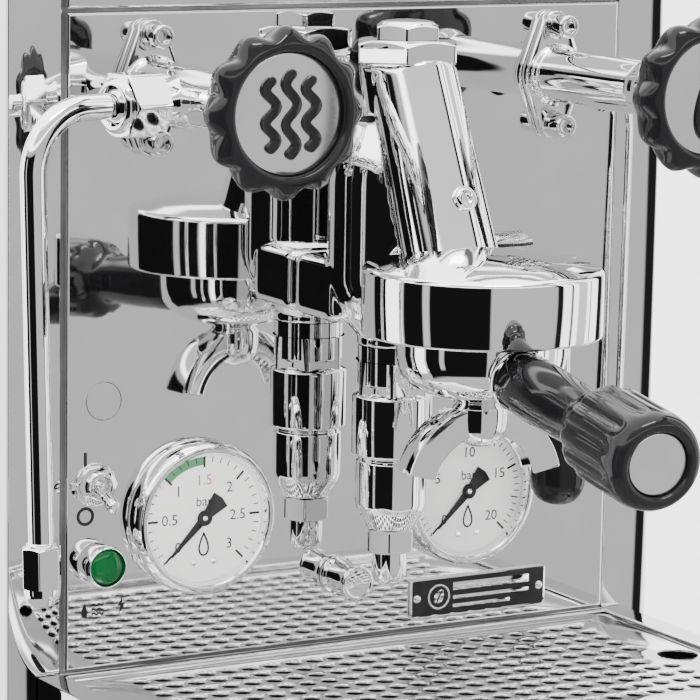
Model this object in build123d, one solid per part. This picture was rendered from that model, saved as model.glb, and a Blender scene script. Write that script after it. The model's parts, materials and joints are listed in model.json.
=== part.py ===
"""Two-boiler espresso machine with a lever-operated group, built as separate pieces.

Millimetres, +Z up.  The machine faces -Y.  Z = 0 is the worktop under the feet, X = 0 is the
brewing axis.  Most places are given by spot(x, forward, height): x to the right, forward in
front of the main panel's face, height above the drip-tray deck.
"""
import os
from math import cos, radians, sin

from build123d import *

# ---- driving dimensions ----
WIDTH = 310.0            # casing, side to side
DECK = 97.0              # height of the main panel's lower edge above the worktop
PANEL_Y = -17.41         # where the main panel's front face stands, front to back
BODY_DEPTH = 290.0       # main panel's face to the back of the casing
BODY_TOP = 388.0         # top of the sheet-metal casing
FOOT_HEIGHT = 20.0
SHEET = 1.5              # casing sheet thickness
PANEL_WIDTH = 261.0
PANEL_HEIGHT = 266.2
PANEL_RETURN = 3.5       # how deep the panel's bent edges are
PANEL_GAP = 1.3          # shadow gap round the panels

TRAY_WIDTH = 284.0
TRAY_REACH = 150.0       # drip tray, forward of the main panel
TRAY_TOP = -1.0
TRAY_BOTTOM = 22.2 - DECK
TRAY_RIM = 12.0
GRILLE_TOP = -3.0
GRILLE_THICK = 1.5
HOLE_PITCH_X = 10.0
HOLE_PITCH_Y = 10.4
HOLE_RADIUS = 3.6
FINGER_RADIUS = 8.5

BELL_FORWARD = 103.0     # brewing axis, forward of the panel
BELL_RADIUS = 47.4
BELL_BOTTOM = 147.0
COLUMN_FORWARD = 35.5    # valve column of the group, forward of the panel
COLUMN_RADIUS = 28.0
CAP_FORWARD = 42.0
CAP_HEIGHT = 246.0
FLANGE_HALF = 28.5       # half-width of the block that joins the group to the panel
FLANGE_HEIGHT = (140.5, 166.5)
CAM_HEIGHT = 167.0
CAM_SHAFT_RADIUS = 8.0
CAM_THROW = 2.7          # eccentric's offset from the shaft's axis
CAM_REST_ANGLE = 100.0   # eccentric's direction at rest, degrees forward of straight up
LEVER_X = 82.0
LEVER_LENGTH = 110.0

VALVE_X = 95.5
VALVE_HEIGHT = 236.0
VALVE_RADIUS = 11.25
VALVE_LENGTH = 100.0
PORT_FORWARD = 40.0      # side port on the valve, forward of the panel
PORT_HEIGHT = 234.0
PORT_TURN = 12.0         # degrees that the port is turned to the front
BALL_REACH = 33.0        # ball centre, out along the port from the valve's axis
BALL_RADIUS = 8.5
KNOB_RADIUS = 32.7
KNOB_LOBES = 12
KNOB_BACK = 104.0
KNOB_FRONT = 121.0
DISC_RADIUS = 22.3
WAND_RADIUS = 5.0
WAND_BEND = 24.0
WAND_X = 171.5
WAND_END = 43.0          # height of the wand's lower tip
WAND_LEAN = 5.0          # how far the lower tip leans in along the port

GAUGE_LEFT_X = -67.8
GAUGE_RIGHT_X = 59.2
GAUGE_HEIGHT = 59.5
GAUGE_RADIUS = 28.0
NEEDLE_ZERO = 135.0      # degrees anticlockwise from straight up, seen from the front
SWITCH_X, SWITCH_HEIGHT = -117.4, 76.3
PILOT_X, PILOT_HEIGHT = -116.4, 43.8
ADJUSTER_X, ADJUSTER_HEIGHT = -5.0, 28.0

HANDLE_TILT = 5.3        # degrees that the portafilter's handle drops to the front
HANDLE_TURN = 7.5        # degrees that the locked handle points to the left
HANDLE_LENGTH = 121.0    # from the bowl's wall to the end of the handle
BOWL_RADIUS = 33.5

RUNNING = 0.05           # radial clearance of a turning fit
FREE = 0.3               # gap between pieces that move past each other

FRONT = (0, -1, 0)
UP = (0, 0, 1)


# ---- shared shapes ----
def spot(x, forward, height):
    """A place measured from the main panel's face and the drip-tray deck."""
    return (x, PANEL_Y - forward, DECK + height)


def block(x, y, z):
    """A box from three (low, high) pairs in the machine's own axes."""
    return Pos(sum(x) / 2, sum(y) / 2, sum(z) / 2) * Box(x[1] - x[0], y[1] - y[0], z[1] - z[0])


def slab(x, forward, height):
    """A box from (low, high) pairs of x, forward and height."""
    y = (PANEL_Y - forward[1], PANEL_Y - forward[0])
    z = (DECK + height[0], DECK + height[1])
    return block(x, y, z)


def turned(outline, foot, along=UP):
    """A turned piece: outline is (radius, distance along the axis) points, closed."""
    edge = Polyline(*[(radius, 0, along_axis) for radius, along_axis in outline], close=True)
    solid = revolve(make_face(edge), Axis.Z)
    return Plane(origin=foot, z_dir=along).location * solid


def rod(radius, foot, length, along=UP):
    """A plain cylinder that starts at foot."""
    return turned([(0, 0), (radius, 0), (radius, length), (0, length)], foot, along)


def tube(outer, inner, foot, length, along=UP):
    """A plain ring or tube that starts at foot."""
    return turned([(inner, 0), (outer, 0), (outer, length), (inner, length)], foot, along)


def hexagon(flats, foot, length, along=UP):
    """A hexagon prism, flats apart across its faces."""
    plane = Plane(origin=foot, z_dir=along)
    return extrude(plane * RegularPolygon(flats / 2, 6, major_radius=False), length)


def ball(radius, centre):
    return Pos(*centre) * Sphere(radius)


def pattern(places, shape):
    """One flat shape repeated at many places."""
    return Sketch() + [place * shape for place in places]


def along_from(start, direction, distance):
    return tuple(s + d * distance for s, d in zip(start, direction))


def both_sides(make):
    """The left and the right copy of a piece as one group of separate solids."""
    return Compound(children=[make(-1), make(1)])


def save(shape, name):
    export_step(shape, f"parts/{name}.step")


# ---- casing ----
BACK_Y = PANEL_Y + BODY_DEPTH
CARRIER_BACK = -PANEL_RETURN - SHEET          # forward value of the inner plate's rear face
PAN_TOP = FOOT_HEIGHT + 2.0
FASCIA_BOTTOM = PANEL_HEIGHT + PANEL_GAP
FASCIA_TOP = BODY_TOP - DECK
TANK_X = (-138.0, -36.0)
TANK_BASE = 124.0
TANK_FORWARD = (-284.0, -128.0)
INLET_X = (-37.0, -3.0)


def feet():
    outline = [(0, 0), (20, 0), (22, 2), (22, 6), (18, 10), (15, 12), (15, 20), (0, 20)]
    places = [(x, forward) for x in (-118, 118) for forward in (112, -262)]
    return Compound(children=[turned(outline, (x, PANEL_Y - f, 0)) for x, f in places])


def base_pan():
    """Welded base: floor sheet, upstands, motor cradle and the boilers' stand."""
    body = block((-WIDTH / 2, WIDTH / 2), (PANEL_Y + 2, BACK_Y), (FOOT_HEIGHT, PAN_TOP))
    nose = block((-138, 138), (PANEL_Y - 146, PANEL_Y + 2), (FOOT_HEIGHT, PAN_TOP))
    pan = body + nose
    upstand_y = (PANEL_Y + 8, BACK_Y - SHEET)
    for side in (-1, 1):
        wall = sorted((side * (WIDTH / 2 - SHEET), side * (WIDTH / 2 - 2 * SHEET)))
        pan += block(wall, upstand_y, (PAN_TOP, PAN_TOP + 20))
    cradle = block((30, 110), (PANEL_Y + 70, PANEL_Y + 190), (PAN_TOP, 64))
    pan += cradle - rod(50, (70, PANEL_Y + 60, 110), 150, (0, 1, 0))
    pan += block((45, 95), (PANEL_Y + 216, PANEL_Y + 270), (PAN_TOP, 80))
    for y in (PANEL_Y + 150, PANEL_Y + 262):
        pan += block((6, 18), (y, y + 3), (PAN_TOP, 270))
        pan += block((128, 142), (y, y + 3), (PAN_TOP, 270))
        pan += block((6, 142), (y, y + 3), (236, 270))
    shelf_y = (PANEL_Y - TANK_FORWARD[1] + 10, PANEL_Y - TANK_FORWARD[0] - 6)
    pan += block((TANK_X[0] + 6, TANK_X[1] - 6), shelf_y, (TANK_BASE - 3, TANK_BASE))
    for x in (TANK_X[0] + 6, TANK_X[1] - 9):
        pan += block((x, x + 3), shelf_y, (PAN_TOP, TANK_BASE - 3))
    return pan - rod(60, (75, PANEL_Y + 140, 300), 150, (0, 1, 0))


def front_frame():
    """Polished front of the casing: two side strips and the plate behind the tray."""
    frame = slab((-WIDTH / 2, WIDTH / 2), (-PANEL_RETURN, -2), (PAN_TOP - DECK, FASCIA_TOP))
    half = PANEL_WIDTH / 2 + PANEL_GAP
    return frame - slab((-half, half), (-9, 9), (-PANEL_GAP, FASCIA_TOP + 1))


def fittings_cut(front, extra):
    """Holes through the panel and the plate behind it for all that passes through."""
    depth = 30
    back = (0, 1, 0)
    cut = rod(12 + extra, spot(0, front, sum(FLANGE_HEIGHT) / 2), depth, back)
    for side in (-1, 1):
        cut += rod(10 + extra, spot(side * VALVE_X, front, VALVE_HEIGHT), depth, back)
    for x in (GAUGE_LEFT_X, GAUGE_RIGHT_X):
        cut += rod(GAUGE_RADIUS + extra, spot(x, front, GAUGE_HEIGHT), depth, back)
    cut += rod(6 + extra, spot(SWITCH_X, front, SWITCH_HEIGHT), depth, back)
    cut += rod(6 + extra, spot(PILOT_X, front, PILOT_HEIGHT), depth, back)
    return cut


def panel_shell(low, high):
    """A sheet panel with its edges bent back."""
    half = PANEL_WIDTH / 2
    shell = slab((-half, half), (-PANEL_RETURN, 0), (low, high))
    front_edges = shell.faces().sort_by(Axis.Y)[0].edges()
    shell = fillet(front_edges, 1.4)
    inner = half - SHEET
    return shell - slab((-inner, inner), (-9, -SHEET), (low + SHEET, high - SHEET))


def front_panel():
    panel = panel_shell(0, PANEL_HEIGHT)
    panel -= fittings_cut(10, 0.3)
    panel -= rod(4.3, spot(ADJUSTER_X, 10, ADJUSTER_HEIGHT), 30, (0, 1, 0))
    plug_ring = tube(7.9, 7.6, spot(-113.7, -0.4, 110.2), 3, FRONT)
    return panel - plug_ring


def front_carrier():
    """Plain steel plate that holds the panel, group, valves and gauges."""
    plate = slab((-150, 150), (CARRIER_BACK, -PANEL_RETURN), (PAN_TOP - DECK, FASCIA_TOP - 2))
    plate -= fittings_cut(10, 0.1)
    return plate - rod(3.9 + RUNNING, spot(ADJUSTER_X, 10, ADJUSTER_HEIGHT), 30, (0, 1, 0))


def side_panels():
    """Left and right casing sides, each with three rows of cooling slots."""
    length = (PANEL_Y + PANEL_RETURN, BACK_Y - SHEET)

    def side(sign):
        wall = sorted((sign * (WIDTH / 2 - SHEET), sign * WIDTH / 2))
        sheet = block(wall, length, (PAN_TOP, BODY_TOP))
        plane = Plane(origin=(sign * WIDTH / 2, PANEL_Y + 150, 300), z_dir=(sign, 0, 0))
        slots = plane * pattern(GridLocations(16, 42, 10, 2), SlotOverall(34, 5, rotation=90))
        return sheet - extrude(slots, 5, both=True)

    return both_sides(side)


def back_panel():
    sheet = block((-WIDTH / 2, WIDTH / 2), (BACK_Y - SHEET, BACK_Y), (PAN_TOP, BODY_TOP))
    plane = Plane(origin=(40, BACK_Y, 250), z_dir=(0, 1, 0))
    slots = plane * pattern(GridLocations(16, 42, 8, 2), SlotOverall(34, 5, rotation=90))
    sheet -= extrude(slots, 5, both=True)
    return sheet - block((INLET_X[0], INLET_X[1]), (BACK_Y - 9, BACK_Y + 9), (50, 76))


def cup_tray():
    """Top plate with a raised edge, a row of slots under the cups and the tank opening."""
    outer = block((-WIDTH / 2, WIDTH / 2), (PANEL_Y + 2, BACK_Y), (BODY_TOP, BODY_TOP + 6))
    half = WIDTH / 2 - SHEET
    tray = outer - block((-half, half), (PANEL_Y + 3.5, BACK_Y - 1.5), (BODY_TOP + 1.5, BODY_TOP + 9))
    opening_y = (PANEL_Y - TANK_FORWARD[1] - 2, PANEL_Y - TANK_FORWARD[0] + 1)
    tray -= block((TANK_X[0] - 1, TANK_X[1] + 2), opening_y, (BODY_TOP - 5, BODY_TOP + 9))
    plane = Plane(origin=(60, PANEL_Y + 150, BODY_TOP))
    slots = plane * pattern(GridLocations(16, 60, 9, 4), SlotOverall(44, 5, rotation=90))
    return tray - extrude(slots, 5, both=True)


def cup_rail():
    """Round rail on four posts round the cup-warming tray."""
    rail_z = 411.0
    half, front_y, back_y = WIDTH / 2 - 5, PANEL_Y + 12, BACK_Y - 10
    corners = [(-half, back_y), (-half, front_y), (half, front_y), (half, back_y)]
    path = FilletPolyline(*[(x, y, rail_z) for x, y in corners], radius=22)
    rail = sweep(Plane(origin=path @ 0, z_dir=path % 0) * Circle(4), path)
    for x in (-half, half):
        for y in (front_y + 24, back_y - 6):
            rail += rod(3, (x, y, BODY_TOP + 1.5), rail_z - BODY_TOP - 1.5)
    return rail


def water_tank():
    x, y = TANK_X, (PANEL_Y - TANK_FORWARD[1], PANEL_Y - TANK_FORWARD[0])
    tank = block(x, y, (TANK_BASE, BODY_TOP - 5))
    tank = fillet(tank.edges().filter_by(Axis.Z), 12)
    inside = block((x[0] + 2, x[1] - 2), (y[0] + 2, y[1] - 2), (TANK_BASE + 2, 400))
    return tank - fillet(inside.edges().filter_by(Axis.Z), 10)


def tank_lid():
    """Lift-off lid over the tank, with a finger hole."""
    y = (PANEL_Y - TANK_FORWARD[1] - 4, PANEL_Y - TANK_FORWARD[0] + 2.5)
    top = block((TANK_X[0] - 4, TANK_X[1] + 4), y, (BODY_TOP + 1.5, BODY_TOP + 3.5))
    lip = block((TANK_X[0] + 6, TANK_X[1] - 6), (y[0] + 12, y[1] - 12), (BODY_TOP - 4, BODY_TOP + 1.5))
    lid = top + lip
    return lid - rod(9, (sum(TANK_X) / 2, y[0] + 30, 370), 40)


# ---- drip tray ----
def drip_tray():
    """Pull-out tray: outer skin, flat rim, a shelf for the grille and the basin."""
    half = TRAY_WIDTH / 2
    tray = slab((-half, half), (-1, TRAY_REACH), (TRAY_BOTTOM, TRAY_TOP))
    tray = fillet(tray.edges().filter_by(Axis.Z).sort_by(Axis.Y)[:2], 6)
    mouth = half - TRAY_RIM
    shelf = GRILLE_TOP - 10
    tray -= slab((-mouth, mouth), (3.0, TRAY_REACH - TRAY_RIM), (shelf, 9))
    tray -= slab((4 - mouth, mouth - 4), (7.0, TRAY_REACH - TRAY_RIM - 4), (TRAY_BOTTOM + SHEET, 9))
    for side in (-1, 1):
        hollow = sorted((side * (mouth + SHEET), side * (half - SHEET)))
        tray -= slab(hollow, (SHEET, TRAY_REACH - 8), (TRAY_BOTTOM - 1, TRAY_TOP - SHEET))
    return tray


def drip_grille():
    """Perforated cover of the tray, edges turned down, one finger hole at each side."""
    half = TRAY_WIDTH / 2 - TRAY_RIM - 0.5
    near, far = 3.5, TRAY_REACH - TRAY_RIM - 0.5
    skirt = GRILLE_TOP - 10
    cover = slab((-half, half), (near, far), (skirt, GRILLE_TOP))
    cover = fillet(cover.faces().sort_by(Axis.Z)[-1].edges(), 1.2)
    inner = half - SHEET
    cover -= slab((-inner, inner), (near + SHEET, far - SHEET), (skirt - 1, GRILLE_TOP - GRILLE_THICK))
    deck = Plane(origin=spot(0, 0, GRILLE_TOP + 1))
    holes = []
    for column in range(22):
        x = (column - 10.5) * HOLE_PITCH_X
        for row in range(11):
            beside_finger_hole = column in (0, 21) and row in (5, 6)
            if not beside_finger_hole:
                holes.append(Location((x, -(17.5 + row * HOLE_PITCH_Y))))
    punched = pattern(holes, Circle(HOLE_RADIUS))
    punched += pattern(Locations((-118, -76), (118, -76)), Circle(FINGER_RADIUS))
    return cover - extrude(deck * punched, -4)


# ---- group ----
def group_body():
    """One casting: bell, leaning neck, valve column, cam box and panel flange."""
    bell_outline = [
        (0, 0), (46.2, 0), (47.4, 1.2), (47.4, 21.5), (46.2, 24), (44, 25.5), (36, 30), (28, 34.5),
        (21.5, 39), (0, 39),
    ]
    foot, crown = spot(0, 91.5, 172), spot(0, CAP_FORWARD, CAP_HEIGHT - 6)
    lean = Vector(*crown) - Vector(*foot)
    neck = [(0, 0), (20.2, 0), (18.8, lean.length), (0, lean.length)]
    casting = turned(bell_outline, spot(0, BELL_FORWARD, BELL_BOTTOM))
    casting += turned(neck, foot, tuple(lean.normalized()))
    casting += rod(19.6, spot(0, CAP_FORWARD, 210), CAP_HEIGHT - 210)
    casting -= slab((-50, 50), (0, 99), (CAP_HEIGHT, CAP_HEIGHT + 40))
    column = [
        (0, 0), (15, 0), (15, 4), (22, 12), (COLUMN_RADIUS, 24), (COLUMN_RADIUS, 74), (20.3, 92), (0, 92),
    ]
    casting += turned(column, spot(0, COLUMN_FORWARD, 131))
    casting += rod(19, spot(0, 66, CAM_HEIGHT), 40, (0, 1, 0))
    casting += rod(15, spot(0, COLUMN_FORWARD, CAM_HEIGHT), 44, (1, 0, 0))
    flange = slab((-FLANGE_HALF, FLANGE_HALF), (0, COLUMN_FORWARD), FLANGE_HEIGHT)
    casting += fillet(flange.edges().filter_by(Axis.Y), 5)
    casting += rod(12, spot(0, CARRIER_BACK, sum(FLANGE_HEIGHT) / 2), 15, FRONT)
    # inside: portafilter mouth, gasket seat, cam chamber, shaft and pin bores, cap thread
    mouth = [(0, -1), (36.2, -1), (36.2, 15), (0, 15)]
    casting -= turned(mouth, spot(0, BELL_FORWARD, BELL_BOTTOM))
    casting -= slab((-8, 8), (COLUMN_FORWARD - 12, COLUMN_FORWARD + 12), (154, 182))
    casting -= rod(CAM_SHAFT_RADIUS + RUNNING, spot(-14, COLUMN_FORWARD, CAM_HEIGHT), 90, (1, 0, 0))
    casting -= rod(5, spot(0, COLUMN_FORWARD, 178), 50)
    casting -= rod(13, spot(0, CAP_FORWARD, 226), 40)
    at, toward = neck_plug()
    casting -= rod(4, along_from(at, toward, -8), 20, toward)
    return casting + retaining_lugs()


def retaining_lugs():
    """Two ledges in the bell's mouth that the portafilter's ears turn onto."""
    ring = tube(37, 34.4, spot(0, BELL_FORWARD, BELL_BOTTOM + 0.2), 1.4)
    gap = slab((-50, 50), (BELL_FORWARD - 18, BELL_FORWARD + 18), (140, 160))
    return ring - gap


def neck_plug():
    """Where the small socket plug sits on the neck, and the way it faces."""
    toward = Vector(-0.30, -0.77, 0.57).normalized()
    return spot(-5.8, 95.5, 198.1), tuple(toward)


def group_cap():
    """Large hexagon cap screwed into the top of the neck."""
    cap = hexagon(39, spot(0, CAP_FORWARD, CAP_HEIGHT), 10)
    cone = turned([(0, 0), (23.5, 0), (23.5, 6), (19, 10), (0, 10)], spot(0, CAP_FORWARD, CAP_HEIGHT))
    cap = (cap & cone) + rod(13, spot(0, CAP_FORWARD, 232), 14)
    return cap - rod(8, spot(0, CAP_FORWARD, 248), 20)


def group_plugs():
    """Small hexagon plug in the cap and a socket plug on the neck."""
    plug = hexagon(24.5, spot(0, CAP_FORWARD, 256), 6.5)
    crown = [(0, 0), (14.2, 0), (14.2, 4), (11, 6.5), (0, 7.6), (0, 0)]
    plug = plug & turned(crown[:-1], spot(0, CAP_FORWARD, 256))
    plug += rod(8, spot(0, CAP_FORWARD, 248), 8)
    at, toward = neck_plug()
    screw = rod(4, along_from(at, toward, -8), 9.3, toward)
    screw += rod(5.2, along_from(at, toward, 1.3), 2.2, toward)
    screw -= hexagon(4, along_from(at, toward, 1.8), 3, toward)
    return Compound(children=[plug, screw])


def group_gasket():
    return tube(36, 30, spot(0, BELL_FORWARD, 154), 8)


def shower_screen():
    outline = [(0, 0), (28.5, 0), (29.5, 1.5), (29.5, 8), (27, 8), (27, 2), (0, 2)]
    return turned(outline, spot(0, BELL_FORWARD, 154))


def preinfusion_chamber():
    """Stepped cylinder under the valve column, with a hexagon collar at its top."""
    outline = [
        (0, 55), (10, 55), (14.5, 64), (14.5, 84), (16.5, 86), (16.5, 111), (14.5, 113), (14.5, 116),
        (0, 116),
    ]
    body = turned(outline, spot(0, COLUMN_FORWARD, 0))
    body += hexagon(31, spot(0, COLUMN_FORWARD, 116), 8)
    body += rod(14.5, spot(0, COLUMN_FORWARD, 124), 7)
    return body - turned([(0, 60), (9, 66), (11, 110), (0, 110)], spot(0, COLUMN_FORWARD, 0))


def discharge_nozzle():
    nozzle = hexagon(18.5, spot(0, COLUMN_FORWARD, 45), 10)
    nozzle += turned([(0, 31.6), (5.5, 31.6), (7.2, 33), (7.2, 45), (0, 45)], spot(0, COLUMN_FORWARD, 0))
    return nozzle - rod(3.5, spot(0, COLUMN_FORWARD, 30), 12)


def camshaft():
    """Brew-valve shaft: two journals, the eccentric between them and the lever's hub."""
    axle = (0, COLUMN_FORWARD, CAM_HEIGHT)
    shaft = rod(CAM_SHAFT_RADIUS, spot(-13.5, *axle[1:]), 5.5, (1, 0, 0))
    shaft += rod(CAM_SHAFT_RADIUS, spot(8, *axle[1:]), 54, (1, 0, 0))
    turn = radians(CAM_REST_ANGLE)
    centre = (COLUMN_FORWARD + CAM_THROW * sin(turn), CAM_HEIGHT + CAM_THROW * cos(turn))
    shaft += rod(5, spot(-8, *centre), 16, (1, 0, 0))
    return shaft


def lever_arm():
    """Hub on the camshaft's end with the arm that hangs from it."""
    hub = [(0, 0), (8.5, 0), (11, 2.5), (11, 24), (9, 28), (5, 31), (0, 32)]
    arm = turned(hub, spot(62, COLUMN_FORWARD, CAM_HEIGHT), (1, 0, 0))
    taper = [(0, 0), (5.2, 0), (4.0, 62), (4.0, 66), (0, 66)]
    return arm + turned(taper, spot(LEVER_X, COLUMN_FORWARD, CAM_HEIGHT), (0, 0, -1))


def lever_grip():
    """Teardrop grip on the arm's lower end."""
    outline = [
        (0, 66), (5.5, 66), (6.2, 70), (7.6, 79), (10.2, 90), (12.0, 98), (11.5, 104), (8.8, 108),
        (4.3, 109.7), (0, LEVER_LENGTH),
    ]
    return turned(outline, spot(LEVER_X, COLUMN_FORWARD, CAM_HEIGHT), (0, 0, -1))


def brew_valve_pin():
    turn = radians(CAM_REST_ANGLE)
    foot = CAM_HEIGHT + CAM_THROW * cos(turn) + 5.5
    return rod(5 - RUNNING, spot(0, COLUMN_FORWARD, foot), 46)


# ---- portafilter ----
def portafilter_body():
    """Bowl with two ears, the spout's boss below and the handle's boss in front."""
    outline = [
        (9, 116), (9, 119), (14, 120), (24, 123), (30.5, 128), (33.5, 135), (33.5, 153.6), (30.8, 153.6),
        (30.8, 136), (28, 130), (22, 126), (12, 123), (4, 122.5), (4, 116),
    ]
    bowl = turned(outline, spot(0, BELL_FORWARD, 0))
    ears = tube(35.8, 33, spot(0, BELL_FORWARD, 149), 3)
    bowl += ears - slab((-17, 17), (40, 160), (140, 160))
    start, way = handle_axis()
    boss = rod(8.5, along_from(start, way, -6), 6, way)
    return bowl + (boss - rod(31, spot(0, BELL_FORWARD, 100), 60))


def handle_axis():
    """The start of the handle at the bowl's wall and its direction."""
    tilt, turn = radians(HANDLE_TILT), radians(HANDLE_TURN)
    start = spot(-BOWL_RADIUS * sin(turn), BELL_FORWARD + BOWL_RADIUS * cos(turn), 133)
    return start, (-sin(turn) * cos(tilt), -cos(turn) * cos(tilt), -sin(tilt))


def locked(shape):
    """Turns a portafilter piece, drawn square to the front, the way the locked handle points."""
    x, y, z = spot(0, BELL_FORWARD, 0)
    return Pos(x, y, z) * Rot(0, 0, -HANDLE_TURN) * Pos(-x, -y, -z) * shape


def filter_basket():
    outline = [
        (0, 128.5), (23, 128.5), (27.5, 132), (29, 140), (29.3, 152.5), (30.6, 153.6), (32.5, 153.6),
        (32.5, 153.9), (28.6, 153.9), (28.3, 140), (26.9, 132.6), (22.8, 129.3), (0, 129.3),
    ]
    return turned(outline, spot(0, BELL_FORWARD, 0))


def portafilter_spout():
    """Double spout: domed hub and an arched channel that pours to both sides."""
    hub = [(0, 101), (6, 102), (9.5, 105.5), (11, 109), (11, 118.7), (9.2, 118.7), (9.2, 114), (0, 114)]
    spout = turned(hub, spot(0, BELL_FORWARD, 0))
    centre = spot(0, BELL_FORWARD - 7, 85)
    arch = rod(33, centre, 14, FRONT) - rod(21, centre, 14, FRONT)
    arch = arch & slab((-40, 40), (80, 130), (92, 130))
    arch -= rod(9.2, spot(0, BELL_FORWARD, 112), 20)
    channel = rod(31.5, spot(0, BELL_FORWARD - 5.5, 85), 11, FRONT)
    channel -= rod(22.5, spot(0, BELL_FORWARD - 5.5, 85), 11, FRONT)
    channel -= rod(11, spot(0, BELL_FORWARD, 90), 40)
    return locked(arch + spout - channel)


def handle_ferrule():
    start, way = handle_axis()
    outline = [(0, 0), (10.5, 0), (12.4, 1.5), (12.4, 3.5), (11, 4.5), (11, 5), (0, 5)]
    return turned(outline, start, way)


def portafilter_handle():
    """Slender neck that swells into a fat end with a recess for the cap."""
    start, way = handle_axis()
    end = HANDLE_LENGTH
    outline = [
        (0, 5), (11.4, 5), (12.4, 7), (12.2, 36), (10.9, 62), (11.5, 68), (17.3, 74), (18.5, 78),
        (18.5, end - 8), (17.2, end - 3), (14.5, end - 0.6), (12.6, end), (11.8, end - 1),
        (11.8, end - 4), (0, end - 4),
    ]
    return turned(outline, start, way)


def handle_cap():
    start, way = handle_axis()
    end = HANDLE_LENGTH
    return turned([(0, end - 4), (11.5, end - 4), (11.5, end - 2), (0, end - 1.4)], start, way)


# ---- valves and wands ----
def port_way(side):
    turn = radians(PORT_TURN)
    return (side * cos(turn), -sin(turn), 0)


def port_centre(side):
    return spot(side * VALVE_X, PORT_FORWARD, PORT_HEIGHT)


def ball_centre(side):
    return along_from(port_centre(side), port_way(side), BALL_REACH)


def valve_bodies():
    """Steam and hot-water valves on their oval flanges."""
    bore = 6 + RUNNING

    def valve(side):
        axis = spot(side * VALVE_X, 0, VALVE_HEIGHT)
        plate = Plane(origin=axis, z_dir=FRONT, x_dir=(1, 0, 0))
        outline = make_hull(
            [Pos(0, 0) * e for e in Circle(14).edges()]
            + [Pos(0, y) * e for y in (-21, 21) for e in Circle(6.2).edges()]
        )
        flange = extrude(plate * outline, 5)
        flange -= extrude(plate * pattern(Locations((0, 21), (0, -21)), Circle(3.1)), 5)
        barrel = [
            (bore, -12), (9.9, -12), (9.9, 0), (VALVE_RADIUS, 0), (VALVE_RADIUS, 81), (13.5, 85),
            (13.5, 95), (10, VALVE_LENGTH), (bore, VALVE_LENGTH),
        ]
        solid = turned(barrel, axis, FRONT) + (flange - rod(9, along_from(axis, FRONT, -1), 9, FRONT))
        neck = tube(8.95, 3, port_centre(side), BALL_REACH - 9.5, port_way(side))
        return solid + (neck - rod(9, axis, 80, FRONT))

    return both_sides(valve)


def valve_bolts():
    """Four socket-head bolts through the two flanges."""
    bolts = []
    for side in (-1, 1):
        for rise in (-21, 21):
            at = spot(side * VALVE_X, -1.2, VALVE_HEIGHT + rise)
            bolt = rod(3, spot(side * VALVE_X, 0.1, VALVE_HEIGHT + rise), 5.4, FRONT)
            bolt += rod(5, along_from(at, FRONT, 6.2), 10, FRONT)
            bolts.append(bolt - hexagon(5, along_from(at, FRONT, 13), 4, FRONT))
    return Compound(children=bolts)


def hex_nuts():
    """Camshaft gland nut and the two nuts that hold the wands' balls."""
    gland = hexagon(26, spot(44, COLUMN_FORWARD, CAM_HEIGHT), 14, (1, 0, 0))
    gland -= rod(CAM_SHAFT_RADIUS + RUNNING, spot(40, COLUMN_FORWARD, CAM_HEIGHT), 30, (1, 0, 0))
    nuts = [gland]
    for side in (-1, 1):
        foot, way = ball_centre(side), port_way(side)
        nut = hexagon(24, along_from(foot, way, -13), 20, way)
        nuts.append(nut - turned([(0, -16), (9, -16), (9, 2.5), (7.9, 5.5), (7.9, 8), (0, 8)], foot, way))
    return Compound(children=nuts)


def knob(side):
    """Lobed hand wheel with a dished front for its centre disc."""
    hub = spot(side * VALVE_X, KNOB_BACK, VALVE_HEIGHT)
    plane = Plane(origin=hub, z_dir=FRONT)
    lobe = 5.0
    rim = Circle(30) + pattern(PolarLocations(KNOB_RADIUS - lobe, KNOB_LOBES), Circle(lobe))
    wheel = extrude(plane * rim, KNOB_FRONT - KNOB_BACK)
    wheel -= rod(DISC_RADIUS + FREE, spot(side * VALVE_X, KNOB_FRONT - 4, VALVE_HEIGHT), 9, FRONT)
    return wheel - rod(4, spot(side * VALVE_X, KNOB_BACK - 1, VALVE_HEIGHT), 20, FRONT)


def spindle(side):
    """Valve spindle with the polished disc that closes the knob's front."""
    outline = [
        (0, 45), (3, 47), (6, 52), (6, 102), (4, 103), (4, KNOB_FRONT - 4), (DISC_RADIUS, KNOB_FRONT - 4),
        (DISC_RADIUS, KNOB_FRONT - 2.5), (14, KNOB_FRONT - 0.6), (0, KNOB_FRONT),
    ]
    return turned(outline, spot(side * VALVE_X, 0, VALVE_HEIGHT), FRONT)


def wand_ball(side):
    """Ball in the nut, with the socket that the tube's end seats in."""
    return ball(BALL_RADIUS, ball_centre(side))


def wand(side):
    """Bent tube from the ball, out, down and into its faceted nozzle."""
    centre, way = ball_centre(side), port_way(side)
    out = (WAND_X - abs(centre[0])) / cos(radians(PORT_TURN))
    corner = along_from(centre, way, out)
    low = (corner[0] - way[0] * WAND_LEAN, corner[1] - way[1] * WAND_LEAN, DECK + WAND_END + 24)
    path = FilletPolyline(along_from(centre, way, 2), corner, low, radius=WAND_BEND)
    pipe = sweep(Plane(origin=path @ 0, z_dir=path % 0) * Circle(WAND_RADIUS), path)
    pipe -= ball(BALL_RADIUS + FREE, centre)
    down = (Vector(*low) - Vector(*corner)).normalized()
    tip = hexagon(14, low, 16, tuple(down))
    nose = [(0, 16), (7, 16), (7.2, 19), (5.5, 23.5), (2.5, 24.6), (0, 24.6)]
    tip += turned(nose, low, tuple(down))
    return Compound(children=[pipe.solids()[0], tip.solids()[0]])


# ---- gauges, switch and lamps ----
def gauge_pieces(make):
    return Compound(children=[make(GAUGE_LEFT_X), make(GAUGE_RIGHT_X)])


def gauge_case(x):
    can = [(0, -36), (28, -36), (28, 5), (26.5, 5), (26.5, -34), (0, -34)]
    return turned(can, spot(x, 0, GAUGE_HEIGHT), FRONT)


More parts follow.
